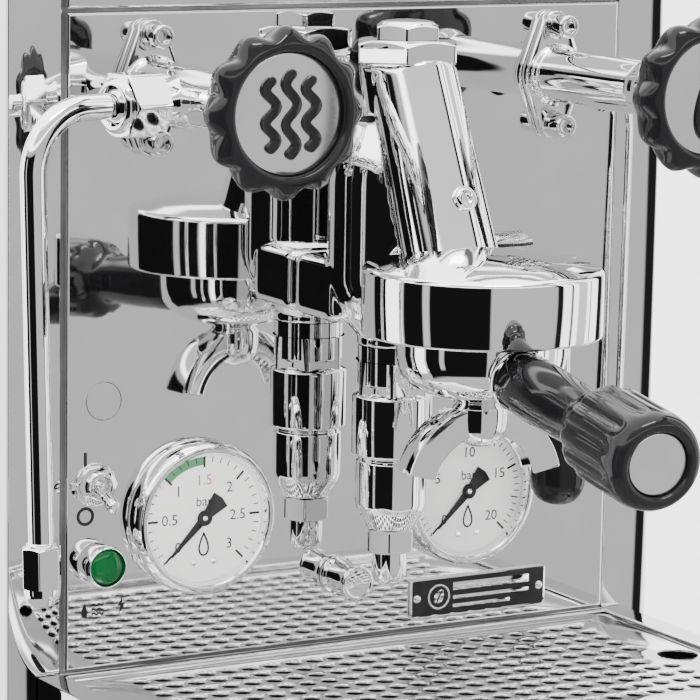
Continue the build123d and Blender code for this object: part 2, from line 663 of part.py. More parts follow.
def gauge_bezel(x):
    ring = [
        (28.1, 0), (31.6, 0), (32, 1), (32, 6), (31, 9.5), (29.6, 11), (28.3, 11), (27.2, 10),
        (27.2, 9.4), (28.1, 9.4),
    ]
    return turned(ring, spot(x, 0, GAUGE_HEIGHT), FRONT)


def gauge_dial(x):
    """White dial plate with the needle's pivot post."""
    outline = [(0, 5), (28, 5), (28, 5.8), (1.2, 5.8), (1.2, 7.6), (0, 7.6)]
    return turned(outline, spot(x, 0, GAUGE_HEIGHT), FRONT)


def gauge_glass(x):
    return rod(28, spot(x, 8.0, GAUGE_HEIGHT), 1.4, FRONT)


def needle(x):
    """Pointer with a wedge-shaped counterweight, at zero."""
    plane = Plane(origin=spot(x, 6.3, GAUGE_HEIGHT), z_dir=FRONT, x_dir=(1, 0, 0))
    blade = make_face(Polyline((-1.3, 0), (1.3, 0), (0.35, 21.5), (-0.35, 21.5), close=True))
    tail = make_face(Polyline((-1.2, 0), (1.2, 0), (3.4, -9.5), (0, -10.6), (-3.4, -9.5), close=True))
    outline = Rot(0, 0, NEEDLE_ZERO) * (blade + tail + Circle(3.2))
    return extrude(plane * (outline - Circle(1.2 + RUNNING)), 1.0)


def switch_body():
    """Toggle switch: block behind the panel, threaded neck and dress nut."""
    at = spot(SWITCH_X, 0, SWITCH_HEIGHT)
    neck = [(0, -14), (6, -14), (6, 0), (8.2, 0), (8.2, 3), (7.4, 3.8), (6, 3.8), (6, 6), (0, 6)]
    body = turned(neck, at, FRONT)
    body += slab((SWITCH_X - 7, SWITCH_X + 7), (-32, -14), (SWITCH_HEIGHT - 11, SWITCH_HEIGHT + 11))
    body -= ball(3.5, spot(SWITCH_X, 2, SWITCH_HEIGHT))
    return body - turned([(0, 2), (3.2, 2), (4.7, 6.1), (0, 6.1)], at, FRONT)


def switch_lever():
    """Ball-pivoted toggle, flicked down."""
    pivot = spot(SWITCH_X, 2, SWITCH_HEIGHT)
    way = (0, -cos(radians(22)), -sin(radians(22)))
    bat = [(0, 0), (1.7, 0), (1.7, 4), (2.9, 15), (2.6, 17), (1.5, 18), (0, 18.3)]
    return ball(3.2, pivot) + turned(bat, pivot, way)


def pilot_housing():
    ring = [(6, -20), (6, 0), (9, 0), (9, 8.5), (8.3, 10.5), (7.6, 10.5), (7.6, 4), (0, 4), (0, -20)]
    return turned(ring, spot(PILOT_X, 0, PILOT_HEIGHT), FRONT)


def pilot_lens():
    dome = [(0, 4), (7.5, 4), (7.5, 9.6), (6, 10.8), (3, 11.5), (0, 11.7)]
    return turned(dome, spot(PILOT_X, 0, PILOT_HEIGHT), FRONT)


def badge_plate():
    """Plain name plate with a rivet at each end."""
    plate = slab((31, 99.5), (0, 1.5), (4.5, 22))
    plate = fillet(plate.edges().filter_by(Axis.Y), 1.5)
    for x in (34.5, 96):
        plate += turned([(0, 1.5), (1.9, 1.5), (1.5, 2.4), (0, 2.8)], spot(x, 0, 13.2), FRONT)
    return plate


def adjuster_cap():
    """Cap of the pressure adjuster, on its own shank."""
    outline = [
        (0, -18), (3.9, -18), (3.9, 0.3), (8.2, 0.3), (8.2, 3), (7.2, 4), (7.2, 19), (6.4, 20), (0, 20),
    ]
    return turned(outline, spot(ADJUSTER_X, 0, ADJUSTER_HEIGHT), FRONT)


# ---- inside the casing ----
def boilers():
    """Brew boiler behind the group and steam boiler at the rear, each with its fittings."""
    back = (0, 1, 0)
    brew = turned([(0, 0), (40, 0), (45, 5), (45, 95), (40, 100), (0, 100)], spot(0, -12, 200), back)
    brew += rod(8, (0, PANEL_Y + 60, 244), 12)
    steam_outline = [(0, 0), (50, 0), (60, 8), (60, 117), (50, 125), (0, 125)]
    steam = turned(steam_outline, (75, PANEL_Y + 142, 300), back)
    return Compound(children=[brew, steam])


def motor_pump():
    back = (0, 1, 0)
    motor = rod(50, (70, PANEL_Y + 64, 110), 128, back)
    motor += rod(5, (70, PANEL_Y + 192, 110), 8, back)
    pump = rod(29, (70, PANEL_Y + 220, 110), 50, back)
    pump += rod(5, (70, PANEL_Y + 204, 110), 16, back)
    pump += rod(7, (70, PANEL_Y + 245, 130), 16)
    return Compound(children=[motor, pump])


def pump_coupling():
    """Turning sleeve between the motor's and the pump's shafts."""
    back = (0, 1, 0)
    return tube(11, 5 + RUNNING, (70, PANEL_Y + 193, 110), 18, back)


def bent_pipe(points, radius=4.0, bend=10.0):
    path = FilletPolyline(*points, radius=bend)
    return sweep(Plane(origin=path @ 0, z_dir=path % 0) * Circle(radius), path)


def pipework():
    """Copper pipes from the boilers to the valves and from the pump to the brew boiler."""
    valve_z = DECK + VALVE_HEIGHT
    left = [
        (-VALVE_X, PANEL_Y + 12, valve_z), (-VALVE_X, PANEL_Y + 120, valve_z),
        (45, PANEL_Y + 120, valve_z), (45, PANEL_Y + 142, valve_z),
    ]
    right = Plane(origin=(VALVE_X, PANEL_Y + 12, valve_z), z_dir=(0, 1, 0)) * Circle(4)
    feed = [
        (70, PANEL_Y + 245, 146), (70, PANEL_Y + 245, 205), (0, PANEL_Y + 245, 205),
        (0, PANEL_Y + 60, 205), (0, PANEL_Y + 60, 244),
    ]
    return Compound(children=[bent_pipe(left), extrude(right, 130), bent_pipe(feed)])


def control_box():
    box = slab((-140, -100), (-115, -40), (PAN_TOP - DECK, 65))
    return fillet(box.edges(), 3)


def power_inlet():
    """Mains inlet in the back panel."""
    left, right = INLET_X
    socket = block((left, right), (BACK_Y - 26, BACK_Y), (50, 76))
    socket += block((left - 6, right + 6), (BACK_Y, BACK_Y + 2.5), (46, 80))
    return socket - block((left + 5, right - 5), (BACK_Y - 18, BACK_Y + 9), (55, 71))


PIECES = {
    "feet": feet,
    "base_pan": base_pan,
    "front_frame": front_frame,
    "front_panel": front_panel,
    "top_fascia": lambda: panel_shell(FASCIA_BOTTOM, FASCIA_TOP - 0.5),
    "front_carrier": front_carrier,
    "side_panels": side_panels,
    "back_panel": back_panel,
    "cup_tray": cup_tray,
    "cup_rail": cup_rail,
    "water_tank": water_tank,
    "tank_lid": tank_lid,
    "drip_tray": drip_tray,
    "drip_grille": drip_grille,
    "group_body": group_body,
    "group_cap": group_cap,
    "group_plugs": group_plugs,
    "group_gasket": group_gasket,
    "shower_screen": shower_screen,
    "preinfusion_chamber": preinfusion_chamber,
    "discharge_nozzle": discharge_nozzle,
    "camshaft": camshaft,
    "lever_arm": lever_arm,
    "lever_grip": lever_grip,
    "brew_valve_pin": brew_valve_pin,
    "portafilter_body": portafilter_body,
    "filter_basket": filter_basket,
    "portafilter_spout": portafilter_spout,
    "handle_ferrule": handle_ferrule,
    "portafilter_handle": portafilter_handle,
    "handle_cap": handle_cap,
    "valve_bodies": valve_bodies,
    "valve_bolts": valve_bolts,
    "hex_nuts": hex_nuts,
    "steam_knob": lambda: knob(-1),
    "steam_spindle": lambda: spindle(-1),
    "steam_ball": lambda: wand_ball(-1),
    "steam_wand": lambda: wand(-1),
    "water_knob": lambda: knob(1),
    "water_spindle": lambda: spindle(1),
    "water_ball": lambda: wand_ball(1),
    "water_wand": lambda: wand(1),
    "gauge_cases": lambda: gauge_pieces(gauge_case),
    "gauge_bezels": lambda: gauge_pieces(gauge_bezel),
    "gauge_dials": lambda: gauge_pieces(gauge_dial),
    "gauge_glasses": lambda: gauge_pieces(gauge_glass),
    "boiler_needle": lambda: needle(GAUGE_LEFT_X),
    "pump_needle": lambda: needle(GAUGE_RIGHT_X),
    "switch_body": switch_body,
    "switch_lever": switch_lever,
    "pilot_housing": pilot_housing,
    "pilot_lens": pilot_lens,
    "badge_plate": badge_plate,
    "adjuster_cap": adjuster_cap,
    "boilers": boilers,
    "motor_pump": motor_pump,
    "pump_coupling": pump_coupling,
    "pipework": pipework,
    "control_box": control_box,
    "power_inlet": power_inlet,
}

os.makedirs("parts", exist_ok=True)
for name, make in PIECES.items():
    save(make(), name)
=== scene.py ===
"""Chromed two-boiler espresso machine: finer shapes, finishes, studio and camera.

Blender works in metres.  Shapes are drawn in millimetres and scaled once, when a piece is finished.
spot(x, forward, height) gives most places: x to the right of the brewing axis, forward in front of
the main panel's face, height above that panel's lower edge.
"""
import json
from math import atan2, cos, pi, radians, sin, tan, tau

import bmesh
import bpy
from mathutils import Matrix, Vector


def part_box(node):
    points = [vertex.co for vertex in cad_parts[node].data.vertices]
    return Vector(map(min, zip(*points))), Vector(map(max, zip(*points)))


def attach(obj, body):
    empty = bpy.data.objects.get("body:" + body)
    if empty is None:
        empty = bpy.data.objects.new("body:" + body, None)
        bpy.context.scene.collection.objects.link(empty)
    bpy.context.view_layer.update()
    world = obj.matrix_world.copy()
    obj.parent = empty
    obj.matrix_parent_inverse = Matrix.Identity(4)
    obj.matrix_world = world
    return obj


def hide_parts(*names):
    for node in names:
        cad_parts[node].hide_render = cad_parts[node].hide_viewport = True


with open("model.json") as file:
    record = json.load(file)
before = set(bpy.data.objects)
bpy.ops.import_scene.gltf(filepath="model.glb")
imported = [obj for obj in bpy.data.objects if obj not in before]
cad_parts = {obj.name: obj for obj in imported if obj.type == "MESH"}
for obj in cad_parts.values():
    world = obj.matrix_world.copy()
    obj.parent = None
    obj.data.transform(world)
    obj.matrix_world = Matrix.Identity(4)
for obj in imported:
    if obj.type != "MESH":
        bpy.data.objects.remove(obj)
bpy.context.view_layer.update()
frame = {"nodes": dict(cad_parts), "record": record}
nodes = frame["nodes"]

MM = 0.001
X, Y, Z = Vector((1, 0, 0)), Vector((0, 1, 0)), Vector((0, 0, 1))
FRONT = -Y


# ---- places, from the frame ----
def node_box(name):
    """Lowest and highest corner of a CAD node, in millimetres."""
    return [Vector(corner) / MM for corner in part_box(name)]


def middle(name):
    low, high = node_box(name)
    return (low + high) / 2


PANEL_LOW, PANEL_HIGH = node_box("front_panel")


def spot(x, forward, height):
    return Vector((x, PANEL_LOW.y - forward, PANEL_LOW.z + height))


BELL_FORWARD = PANEL_LOW.y - middle("shower_screen").y
COLUMN_FORWARD = PANEL_LOW.y - middle("preinfusion_chamber").y
CAP_FORWARD = PANEL_LOW.y - middle("group_cap").y
CAM_HEIGHT = middle("camshaft").z - PANEL_LOW.z
VALVE_X = middle("water_knob").x
VALVE_HEIGHT = middle("water_knob").z - PANEL_LOW.z
KNOB_BACK = PANEL_LOW.y - node_box("water_knob")[1].y
KNOB_FRONT = PANEL_LOW.y - node_box("water_knob")[0].y
LEVER_X = middle("lever_grip").x
GAUGE_HEIGHT = middle("gauge_dials").z - PANEL_LOW.z
GAUGE_LEFT_X = middle("boiler_needle").x
GAUGE_RIGHT_X = middle("pump_needle").x
SWITCH_HEIGHT = middle("switch_body").z - PANEL_LOW.z


# ---- driving sizes that the boxes don't give ----
BELL_BOTTOM = 147.0
CAP_HEIGHT = 246.0
PORT_FORWARD, PORT_HEIGHT, PORT_TURN = 40.0, 234.0, 12.0
BALL_REACH = 33.0
WAND_RADIUS, WAND_X, WAND_END, WAND_LEAN = 5.0, 171.5, 43.0, 5.0
HOLE_PITCH_X, HOLE_PITCH_Y = 10.0, 10.4
HOLE_RADIUS, FINGER_RADIUS = 3.6, 8.5


# ---- drawing and placing shapes ----
def stand(shape, foot, along=Z, across=X):
    """Moves a shape drawn up Z from the origin to a foot point, pointing along.

    along and across must differ: where both are X, the shape is flattened to a line.
    """
    up = Vector(along).normalized()
    second = up.cross(Vector(across)).normalized()
    first = second.cross(up)
    turn = Matrix((first, second, up)).transposed().to_4x4()
    bmesh.ops.transform(shape, matrix=Matrix.Translation(foot) @ turn, verts=shape.verts)
    return shape


def moved(shape, x, y, z=0.0):
    """Shifts a shape and hands it back."""
    bmesh.ops.translate(shape, vec=(x, y, z), verts=shape.verts)
    return shape


def twisted(shape, angle):
    """Turns a shape about Z and hands it back."""
    bmesh.ops.rotate(shape, matrix=Matrix.Rotation(angle, 3, "Z"), verts=shape.verts)
    return shape


def points_of(geometry):
    return [item for item in geometry if isinstance(item, bmesh.types.BMVert)]


def grown(shape, edges):
    """Extrudes a line of edges; gives the new points and the new line of edges."""
    geometry = bmesh.ops.extrude_edge_only(shape, edges=edges)["geom"]
    verts = points_of(geometry)
    fresh = set(verts)
    line = [
        item for item in geometry
        if isinstance(item, bmesh.types.BMEdge) and fresh.issuperset(item.verts)
    ]
    return verts, line


def sharp_edges(shape, angle=1.2):
    """Edges whose two faces meet at more than an angle, in radians."""
    return [
        edge for edge in shape.edges
        if len(edge.link_faces) == 2 and edge.calc_face_angle() > angle
    ]


def closed(shape):
    """Merges doubled points and points all faces outwards."""
    bmesh.ops.remove_doubles(shape, verts=shape.verts, dist=1e-4)
    bmesh.ops.recalc_face_normals(shape, faces=shape.faces)
    return shape


def spun(outline, steps=96, ring=False):
    """A turned shape about Z.  Points are (radius, distance along the axis, rounding)."""
    shape = bmesh.new()
    points = [(point, shape.verts.new((point[0], 0, point[1]))) for point in outline]
    verts = [vert for point, vert in points]
    followers = verts[1:] + verts[:1] if ring else verts[1:]
    for vert, follower in zip(verts, followers):
        shape.edges.new((vert, follower))
    for size in sorted({point[2] for point in outline if len(point) > 2}):
        corners = [vert for point, vert in points if point[2:] == (size,)]
        segments = 3 if size < 2 else 8
        bmesh.ops.bevel(
            shape, geom=corners, offset=size, offset_type="OFFSET", segments=segments,
            profile=0.5, affect="VERTICES", material=-1,
        )
    geometry = shape.verts[:] + shape.edges[:]
    bmesh.ops.spin(
        shape, geom=geometry, cent=(0, 0, 0), axis=(0, 0, 1), angle=tau, steps=steps, use_merge=True,
    )
    return closed(shape)


def lofted(rings, segments=96):
    """Skins a stack of closed rings.  Each ring turns an angle into (radius, height)."""
    shape = bmesh.new()
    bmesh.ops.create_circle(shape, segments=segments, radius=1.0)
    loop, verts = shape.edges[:], shape.verts[:]
    first_loop = loop
    for number, ring in enumerate(rings):
        if number:
            verts, loop = grown(shape, loop)
        for vert in verts:
            angle = atan2(vert.co.y, vert.co.x)
            radius, height = ring(angle)
            vert.co = (radius * cos(angle), radius * sin(angle), height)
    for ends in (first_loop, loop):
        bmesh.ops.holes_fill(shape, edges=ends, sides=0)
    return closed(shape)


def hexagon(flats, foot, top, flat_top, flat_foot=None):
    """Hexagon blank whose corners are turned off to a circle of radius flat_top (and flat_foot)."""
    slope = tan(radians(30))

    def reach(angle):
        return flats / 2 / cos(angle % (pi / 3) - pi / 6)

    def edge(level, sign, flat):
        return lambda angle: (reach(angle), level - sign * max(0, reach(angle) - flat) * slope)

    flat_foot = flat_foot or 2 * flats
    rings = [edge(foot, -1, flat_foot), edge(top, 1, flat_top)]
    if flat_foot < flats:
        rings.insert(0, lambda angle: (flat_foot, foot))
    rings.append(lambda angle: (flat_top, top))
    blank = lofted(rings, segments=72)
    corners = [
        edge for edge in sharp_edges(blank, radians(35))
        if abs((edge.verts[0].co - edge.verts[1].co).normalized().z) > 0.9
    ]
    return soften(blank, corners, flats * 0.02)


def joined(*shapes):
    """Several shapes as one mesh."""
    whole = bmesh.new()
    for shape in shapes:
        mesh = bpy.data.meshes.new("joined")
        shape.to_mesh(mesh)
        shape.free()
        whole.from_mesh(mesh)
        bpy.data.meshes.remove(mesh)
    return whole


def bar(low, high, round_edges=0.0, segments=2):
    """A box between two corners with rounded edges."""
    shape = bmesh.new()
    bmesh.ops.create_cube(shape, size=1.0)
    low, high = Vector(low), Vector(high)
    bmesh.ops.scale(shape, vec=high - low, verts=shape.verts)
    bmesh.ops.translate(shape, vec=(low + high) / 2, verts=shape.verts)
    if round_edges:
        soften(shape, shape.edges[:], round_edges, segments)
    return shape


def soften(shape, edges, size, segments=2):
    bmesh.ops.bevel(
        shape, geom=edges, offset=size, offset_type="OFFSET", segments=segments, profile=0.5,
        affect="EDGES", material=-1,
    )
    return shape


def arc(centre, radius, first, sweep, steps):
    """Points along an arc, with its angles in radians."""
    angles = [first + sweep * step / steps for step in range(steps + 1)]
    return [(centre[0] + radius * cos(angle), centre[1] + radius * sin(angle)) for angle in angles]


def plate(points, thickness):
    """A flat plate in the XY plane, pushed up Z."""
    shape = bmesh.new()
    face = shape.faces.new([shape.verts.new((x, y, 0)) for x, y in points])
    top = points_of(bmesh.ops.extrude_face_region(shape, geom=[face])["geom"])
    bmesh.ops.translate(shape, vec=(0, 0, thickness), verts=top)
    return closed(shape)


def lettering(words, size, thickness=0.05):
    """Plain figures as a mesh in the XY plane, centred on the origin."""
    curve = bpy.data.curves.new("figures", "FONT")
    curve.body = words
    curve.size = size
    curve.align_x = "CENTER"
    curve.align_y = "CENTER"
    curve.extrude = thickness / 2
    curve.resolution_u = 4
    carrier = bpy.data.objects.new("figures", curve)
    bpy.context.scene.collection.objects.link(carrier)
    mesh = bpy.data.meshes.new_from_object(carrier.evaluated_get(bpy.context.evaluated_depsgraph_get()))
    shape = bmesh.new()
    shape.from_mesh(mesh)
    bpy.data.objects.remove(carrier)
    bpy.data.curves.remove(curve)
    bpy.data.meshes.remove(mesh)
    bmesh.ops.remove_doubles(shape, verts=shape.verts, dist=1e-4)
    return shape


def finish_piece(name, shape, body, slot, replaced=(), material=None, crease=32):
    """Puts a shape in the scene in metres, on its body; its finish is its slot's, or one of its own."""
    bmesh.ops.scale(shape, vec=(MM, MM, MM), verts=shape.verts)
    mesh = bpy.data.meshes.new(name)
    shape.to_mesh(mesh)
    shape.free()
    mesh.shade_smooth()
    mesh.set_sharp_from_angle(angle=radians(crease))
    mesh.materials.append(material or FINISH[slot])
    piece = bpy.data.objects.new(name, mesh)
    bpy.context.scene.collection.objects.link(piece)
    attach(piece, body)
    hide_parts(*replaced)
    return piece


# ---- finishes ----
def new_group(name, inputs, outputs):
    """An empty shader node group with named sockets."""
    group = bpy.data.node_groups.new(name, "ShaderNodeTree")
    for label, kind, value in inputs:
        socket = group.interface.new_socket(name=label, in_out="INPUT", socket_type=kind)
        if value is not None:
            socket.default_value = value
    for label, kind in outputs:
        group.interface.new_socket(name=label, in_out="OUTPUT", socket_type=kind)
    return group, group.nodes.new("NodeGroupInput"), group.nodes.new("NodeGroupOutput")


def math_node(tree, operation, first, second):
    node = tree.nodes.new("ShaderNodeMath")
    node.operation = operation
    for socket, value in zip(node.inputs, (first, second)):
        if isinstance(value, (int, float)):
            socket.default_value = value
        else:
            tree.links.new(value, socket)
    return node.outputs[0]


def remapped(tree, value, low, high, to_low, to_high):
    node = tree.nodes.new("ShaderNodeMapRange")
    node.interpolation_type = "SMOOTHSTEP"
    tree.links.new(value, node.inputs["Value"])
    for label, number in (("From Min", low), ("From Max", high), ("To Min", to_low), ("To Max", to_high)):
        if isinstance(number, (int, float)):
            node.inputs[label].default_value = number
        else:
            tree.links.new(number, node.inputs[label])
    return node.outputs["Result"]


def polish_group():
    """Hand-polished metal: slow ripples, hazy patches and hairline wiping marks."""
    group, given, result = new_group(
        "polish",
        [
            ("Place", "NodeSocketVector", None), ("Ripple Scale", "NodeSocketFloat", 30.0),
            ("Haze Low", "NodeSocketFloat", 0.03), ("Haze High", "NodeSocketFloat", 0.08),
        ],
        [("Roughness", "NodeSocketFloat"), ("Height", "NodeSocketFloat"), ("Tint", "NodeSocketFloat")],
    )
    ripple = group.nodes.new("ShaderNodeTexNoise")
    ripple.inputs["Detail"].default_value = 1.0
    group.links.new(given.outputs["Place"], ripple.inputs["Vector"])
    group.links.new(given.outputs["Ripple Scale"], ripple.inputs["Scale"])
    haze = group.nodes.new("ShaderNodeTexNoise")
    haze.inputs["Scale"].default_value = 46.0
    haze.inputs["Detail"].default_value = 5.0
    group.links.new(given.outputs["Place"], haze.inputs["Vector"])
    stretch = group.nodes.new("ShaderNodeMapping")
    stretch.inputs["Scale"].default_value = (1.0, 1.0, 26.0)
    stretch.inputs["Rotation"].default_value = (0.4, 0.2, 0.0)
    group.links.new(given.outputs["Place"], stretch.inputs["Vector"])
    hairline = group.nodes.new("ShaderNodeTexNoise")
    hairline.inputs["Scale"].default_value = 120.0
    hairline.inputs["Detail"].default_value = 3.0
    group.links.new(stretch.outputs[0], hairline.inputs["Vector"])
    blur = math_node(group, "ADD", haze.outputs[0], math_node(group, "MULTIPLY", hairline.outputs[0], 0.35))
    rough = remapped(group, blur, 0.5, 0.95, given.outputs["Haze Low"], given.outputs["Haze High"])
    group.links.new(rough, result.inputs["Roughness"])
    scratches = math_node(group, "MULTIPLY", hairline.outputs[0], 0.02)
    height = math_node(group, "ADD", ripple.outputs[0], scratches)
    group.links.new(height, result.inputs["Height"])
    group.links.new(remapped(group, haze.outputs[0], 0.35, 0.65, 0.0, 1.0), result.inputs["Tint"])
    return group


def moulding_group():
    """Moulded or painted skin: fine pimples, soft mottling and rubbed outer edges."""
    group, given, result = new_group(
        "moulding",
        [
            ("Place", "NodeSocketVector", None), ("Grain Scale", "NodeSocketFloat", 900.0),
            ("Rough Low", "NodeSocketFloat", 0.1), ("Rough High", "NodeSocketFloat", 0.2),
        ],
        [("Roughness", "NodeSocketFloat"), ("Height", "NodeSocketFloat"), ("Wear", "NodeSocketFloat")],
    )
    grain = group.nodes.new("ShaderNodeTexNoise")
    grain.inputs["Detail"].default_value = 2.0
    group.links.new(given.outputs["Place"], grain.inputs["Vector"])
    group.links.new(given.outputs["Grain Scale"], grain.inputs["Scale"])
    mottle = group.nodes.new("ShaderNodeTexNoise")
    mottle.inputs["Scale"].default_value = 60.0
    mottle.inputs["Detail"].default_value = 6.0
    group.links.new(given.outputs["Place"], mottle.inputs["Vector"])
    rough = remapped(
        group, mottle.outputs[0], 0.3, 0.7, given.outputs["Rough Low"], given.outputs["Rough High"],
    )
    edges = group.nodes.new("ShaderNodeNewGeometry")
    rubbed = remapped(group, edges.outputs["Pointiness"], 0.52, 0.60, 0.0, 1.0)
    group.links.new(rough, result.inputs["Roughness"])
    group.links.new(grain.outputs[0], result.inputs["Height"])
    group.links.new(math_node(group, "MULTIPLY", rubbed, mottle.outputs[0]), result.inputs["Wear"])
    return group


POLISH = polish_group()
MOULDING = moulding_group()


def new_finish(name, group, settings):
    """A material with the group already placed on the piece's own coordinates."""
    material = bpy.data.materials.new(name)
    material.use_nodes = True
    tree = material.node_tree
    shader = tree.nodes["Principled BSDF"]
    effect = tree.nodes.new("ShaderNodeGroup")
    effect.node_tree = group
    place = tree.nodes.new("ShaderNodeTexCoord")
    tree.links.new(place.outputs["Object"], effect.inputs["Place"])
    for label, value in settings.items():
        effect.inputs[label].default_value = value
    tree.links.new(effect.outputs["Roughness"], shader.inputs["Roughness"])
    return material, tree, shader, effect


def blend_colours(tree, factor, first, second):
    mix = tree.nodes.new("ShaderNodeMix")
    mix.data_type = "RGBA"
    tree.links.new(factor, mix.inputs["Factor"])
    mix.inputs["A"].default_value = (*first, 1)
    mix.inputs["B"].default_value = (*second, 1)
    return mix.outputs["Result"]


def relief(tree, height, shader, strength, distance):
    bump = tree.nodes.new("ShaderNodeBump")
    bump.inputs["Strength"].default_value = strength
    bump.inputs["Distance"].default_value = distance
    tree.links.new(height, bump.inputs["Height"])
    tree.links.new(bump.outputs[0], shader.inputs["Normal"])


def polished(name, bright, dull, haze, ripple_scale, ripple):
    """Polished metal; haze is the (lowest, highest) roughness, ripple the bump's strength."""
    settings = {"Ripple Scale": ripple_scale, "Haze Low": haze[0], "Haze High": haze[1]}
    material, tree, shader, effect = new_finish(name, POLISH, settings)
    shader.inputs["Metallic"].default_value = 1.0
    tree.links.new(blend_colours(tree, effect.outputs["Tint"], bright, dull), shader.inputs["Base Color"])
    relief(tree, effect.outputs["Height"], shader, ripple, 0.0006)
    return material


def moulded(name, colour, rubbed, rough, grain_scale, grain, shine=0.5):
    """Moulded plastic, rubber or paint; rough is the (lowest, highest) roughness."""
    settings = {"Grain Scale": grain_scale, "Rough Low": rough[0], "Rough High": rough[1]}
    material, tree, shader, effect = new_finish(name, MOULDING, settings)
    shader.inputs["Specular IOR Level"].default_value = shine
    tree.links.new(blend_colours(tree, effect.outputs["Wear"], colour, rubbed), shader.inputs["Base Color"])
    relief(tree, effect.outputs["Height"], shader, grain, 0.0002)
    return material


def clear(name, tint, rough_high, ior):
    """Clear glass or plastic with faint wiping marks."""
    settings = {"Ripple Scale": 20.0, "Haze Low": 0.0, "Haze High": rough_high}
    material, _, shader, _ = new_finish(name, POLISH, settings)
    shader.inputs["Base Color"].default_value = (*tint, 1)
    shader.inputs["Transmission Weight"].default_value = 1.0
    shader.inputs["IOR"].default_value = ior
    return material


STEEL, CHROME = (0.80, 0.80, 0.80), (0.88, 0.88, 0.885)
FINISH = {
    "mirror_steel": polished("mirror_steel", STEEL, (0.77, 0.77, 0.775), (0.012, 0.035), 9.0, 0.05),
    "dark_steel": polished("dark_steel", (0.34, 0.34, 0.35), (0.27, 0.27, 0.28), (0.28, 0.42), 60.0, 0.2),
    "chrome_casting": polished("chrome_casting", CHROME, (0.84, 0.84, 0.85), (0.01, 0.035), 34.0, 0.16),
    "chrome_turned": polished("chrome_turned", CHROME, (0.85, 0.85, 0.855), (0.008, 0.03), 18.0, 0.04),
    "bolt_steel": polished("bolt_steel", (0.78, 0.78, 0.79), (0.66, 0.66, 0.67), (0.06, 0.16), 90.0, 0.25),
    "satin_disc": polished("satin_disc", (0.82, 0.82, 0.82), (0.77, 0.77, 0.77), (0.10, 0.17), 12.0, 0.05),
    "boiler_steel": polished("boiler_steel", (0.62, 0.61, 0.59), (0.50, 0.49, 0.47), (0.22, 0.36), 40.0, 0.3),
    "copper_pipe": polished("copper_pipe", (0.86, 0.48, 0.30), (0.60, 0.30, 0.19), (0.18, 0.34), 70.0, 0.3),
    "black_bakelite": moulded(
        "black_bakelite", (0.006, 0.006, 0.0065), (0.03, 0.03, 0.03), (0.03, 0.09), 260.0, 0.015, shine=0.2,
    ),
    "black_rubber": moulded(
        "black_rubber", (0.018, 0.018, 0.018), (0.06, 0.06, 0.06), (0.55, 0.75), 900.0, 0.5,
    ),
    "black_plastic": moulded(
        "black_plastic", (0.02, 0.02, 0.021), (0.05, 0.05, 0.05), (0.35, 0.5), 1400.0, 0.4,
    ),
    "dial_white": moulded("dial_white", (0.90, 0.90, 0.88), (0.86, 0.86, 0.84), (0.45, 0.6), 500.0, 0.05),
    "needle_black": moulded(
        "needle_black", (0.008, 0.008, 0.008), (0.02, 0.02, 0.02), (0.35, 0.5), 900.0, 0.1, shine=0.12,
    ),
    "badge_black": moulded(
        "badge_black", (0.006, 0.006, 0.006), (0.03, 0.03, 0.03), (0.18, 0.3), 700.0, 0.12, shine=0.15,
    ),
    "machine_grey": moulded("machine_grey", (0.28, 0.29, 0.30), (0.4, 0.4, 0.4), (0.4, 0.55), 800.0, 0.4),
    "clear_glass": clear("clear_glass", (0.99, 0.99, 0.99), 0.02, 1.12),
    "clear_plastic": clear("clear_plastic", (0.93, 0.95, 0.97), 0.12, 1.45),
}


def glowing_lens(name):
    """Deep green lens, lit from within: brightest towards its middle."""
    settings = {"Grain Scale": 300.0, "Rough Low": 0.03, "Rough High": 0.07}
    material, tree, shader, effect = new_finish(name, MOULDING, settings)
    shader.inputs["Base Color"].default_value = (0.001, 0.035, 0.008, 1)
    shader.inputs["Specular IOR Level"].default_value = 0.3
    facing = tree.nodes.new("ShaderNodeLayerWeight")
    facing.inputs["Blend"].default_value = 0.35
    glow = remapped(tree, facing.outputs["Facing"], 0.0, 0.6, 1.0, 0.0)
    colour = blend_colours(tree, glow, (0.0, 0.01, 0.002), (0.0, 0.14, 0.03))
    tree.links.new(colour, shader.inputs["Emission Color"])
    shader.inputs["Emission Strength"].default_value = 0.5
    relief(tree, effect.outputs["Height"], shader, 0.1, 0.0002)
    return material


FINISH["green_lens"] = glowing_lens("green_lens")
FINISH["grille_steel"] = polished(
    "grille_steel", (0.74, 0.74, 0.74), (0.68, 0.68, 0.68), (0.10, 0.18), 14.0, 0.05,
)
# Painted shade: the basin steel is darkened to 0.20 to stand in for the dim hollow under the grille, not a
# darker metal.
FINISH["basin_steel_painted_shade"] = polished(
    "basin_steel_painted_shade", (0.20, 0.20, 0.20), (0.15, 0.15, 0.15), (0.25, 0.35), 30.0, 0.1,
)
DIAL_GREEN = moulded("dial_green", (0.04, 0.19, 0.07), (0.05, 0.22, 0.09), (0.4, 0.55), 500.0, 0.05)
DIAL_RED = moulded("dial_red", (0.52, 0.03, 0.02), (0.56, 0.05, 0.04), (0.4, 0.55), 500.0, 0.05)


# ---- group ----
def remeshed(shape, voxel, smoothing):
    """One skin over overlapping shapes, with the softly blended joins of a casting."""
    mesh = bpy.data.meshes.new("casting")
    shape.to_mesh(mesh)
    shape.free()
    carrier = bpy.data.objects.new("casting", mesh)
    bpy.context.scene.collection.objects.link(carrier)
    skin = carrier.modifiers.new("skin", "REMESH")
    skin.mode = "VOXEL"
    skin.voxel_size = voxel
    blended = carrier.modifiers.new("blended", "SMOOTH")
    blended.factor = 0.5
    blended.iterations = smoothing
    whole = bmesh.new()
    whole.from_mesh(carrier.evaluated_get(bpy.context.evaluated_depsgraph_get()).to_mesh())
    bpy.data.objects.remove(carrier)
    bpy.data.meshes.remove(mesh)
    return whole


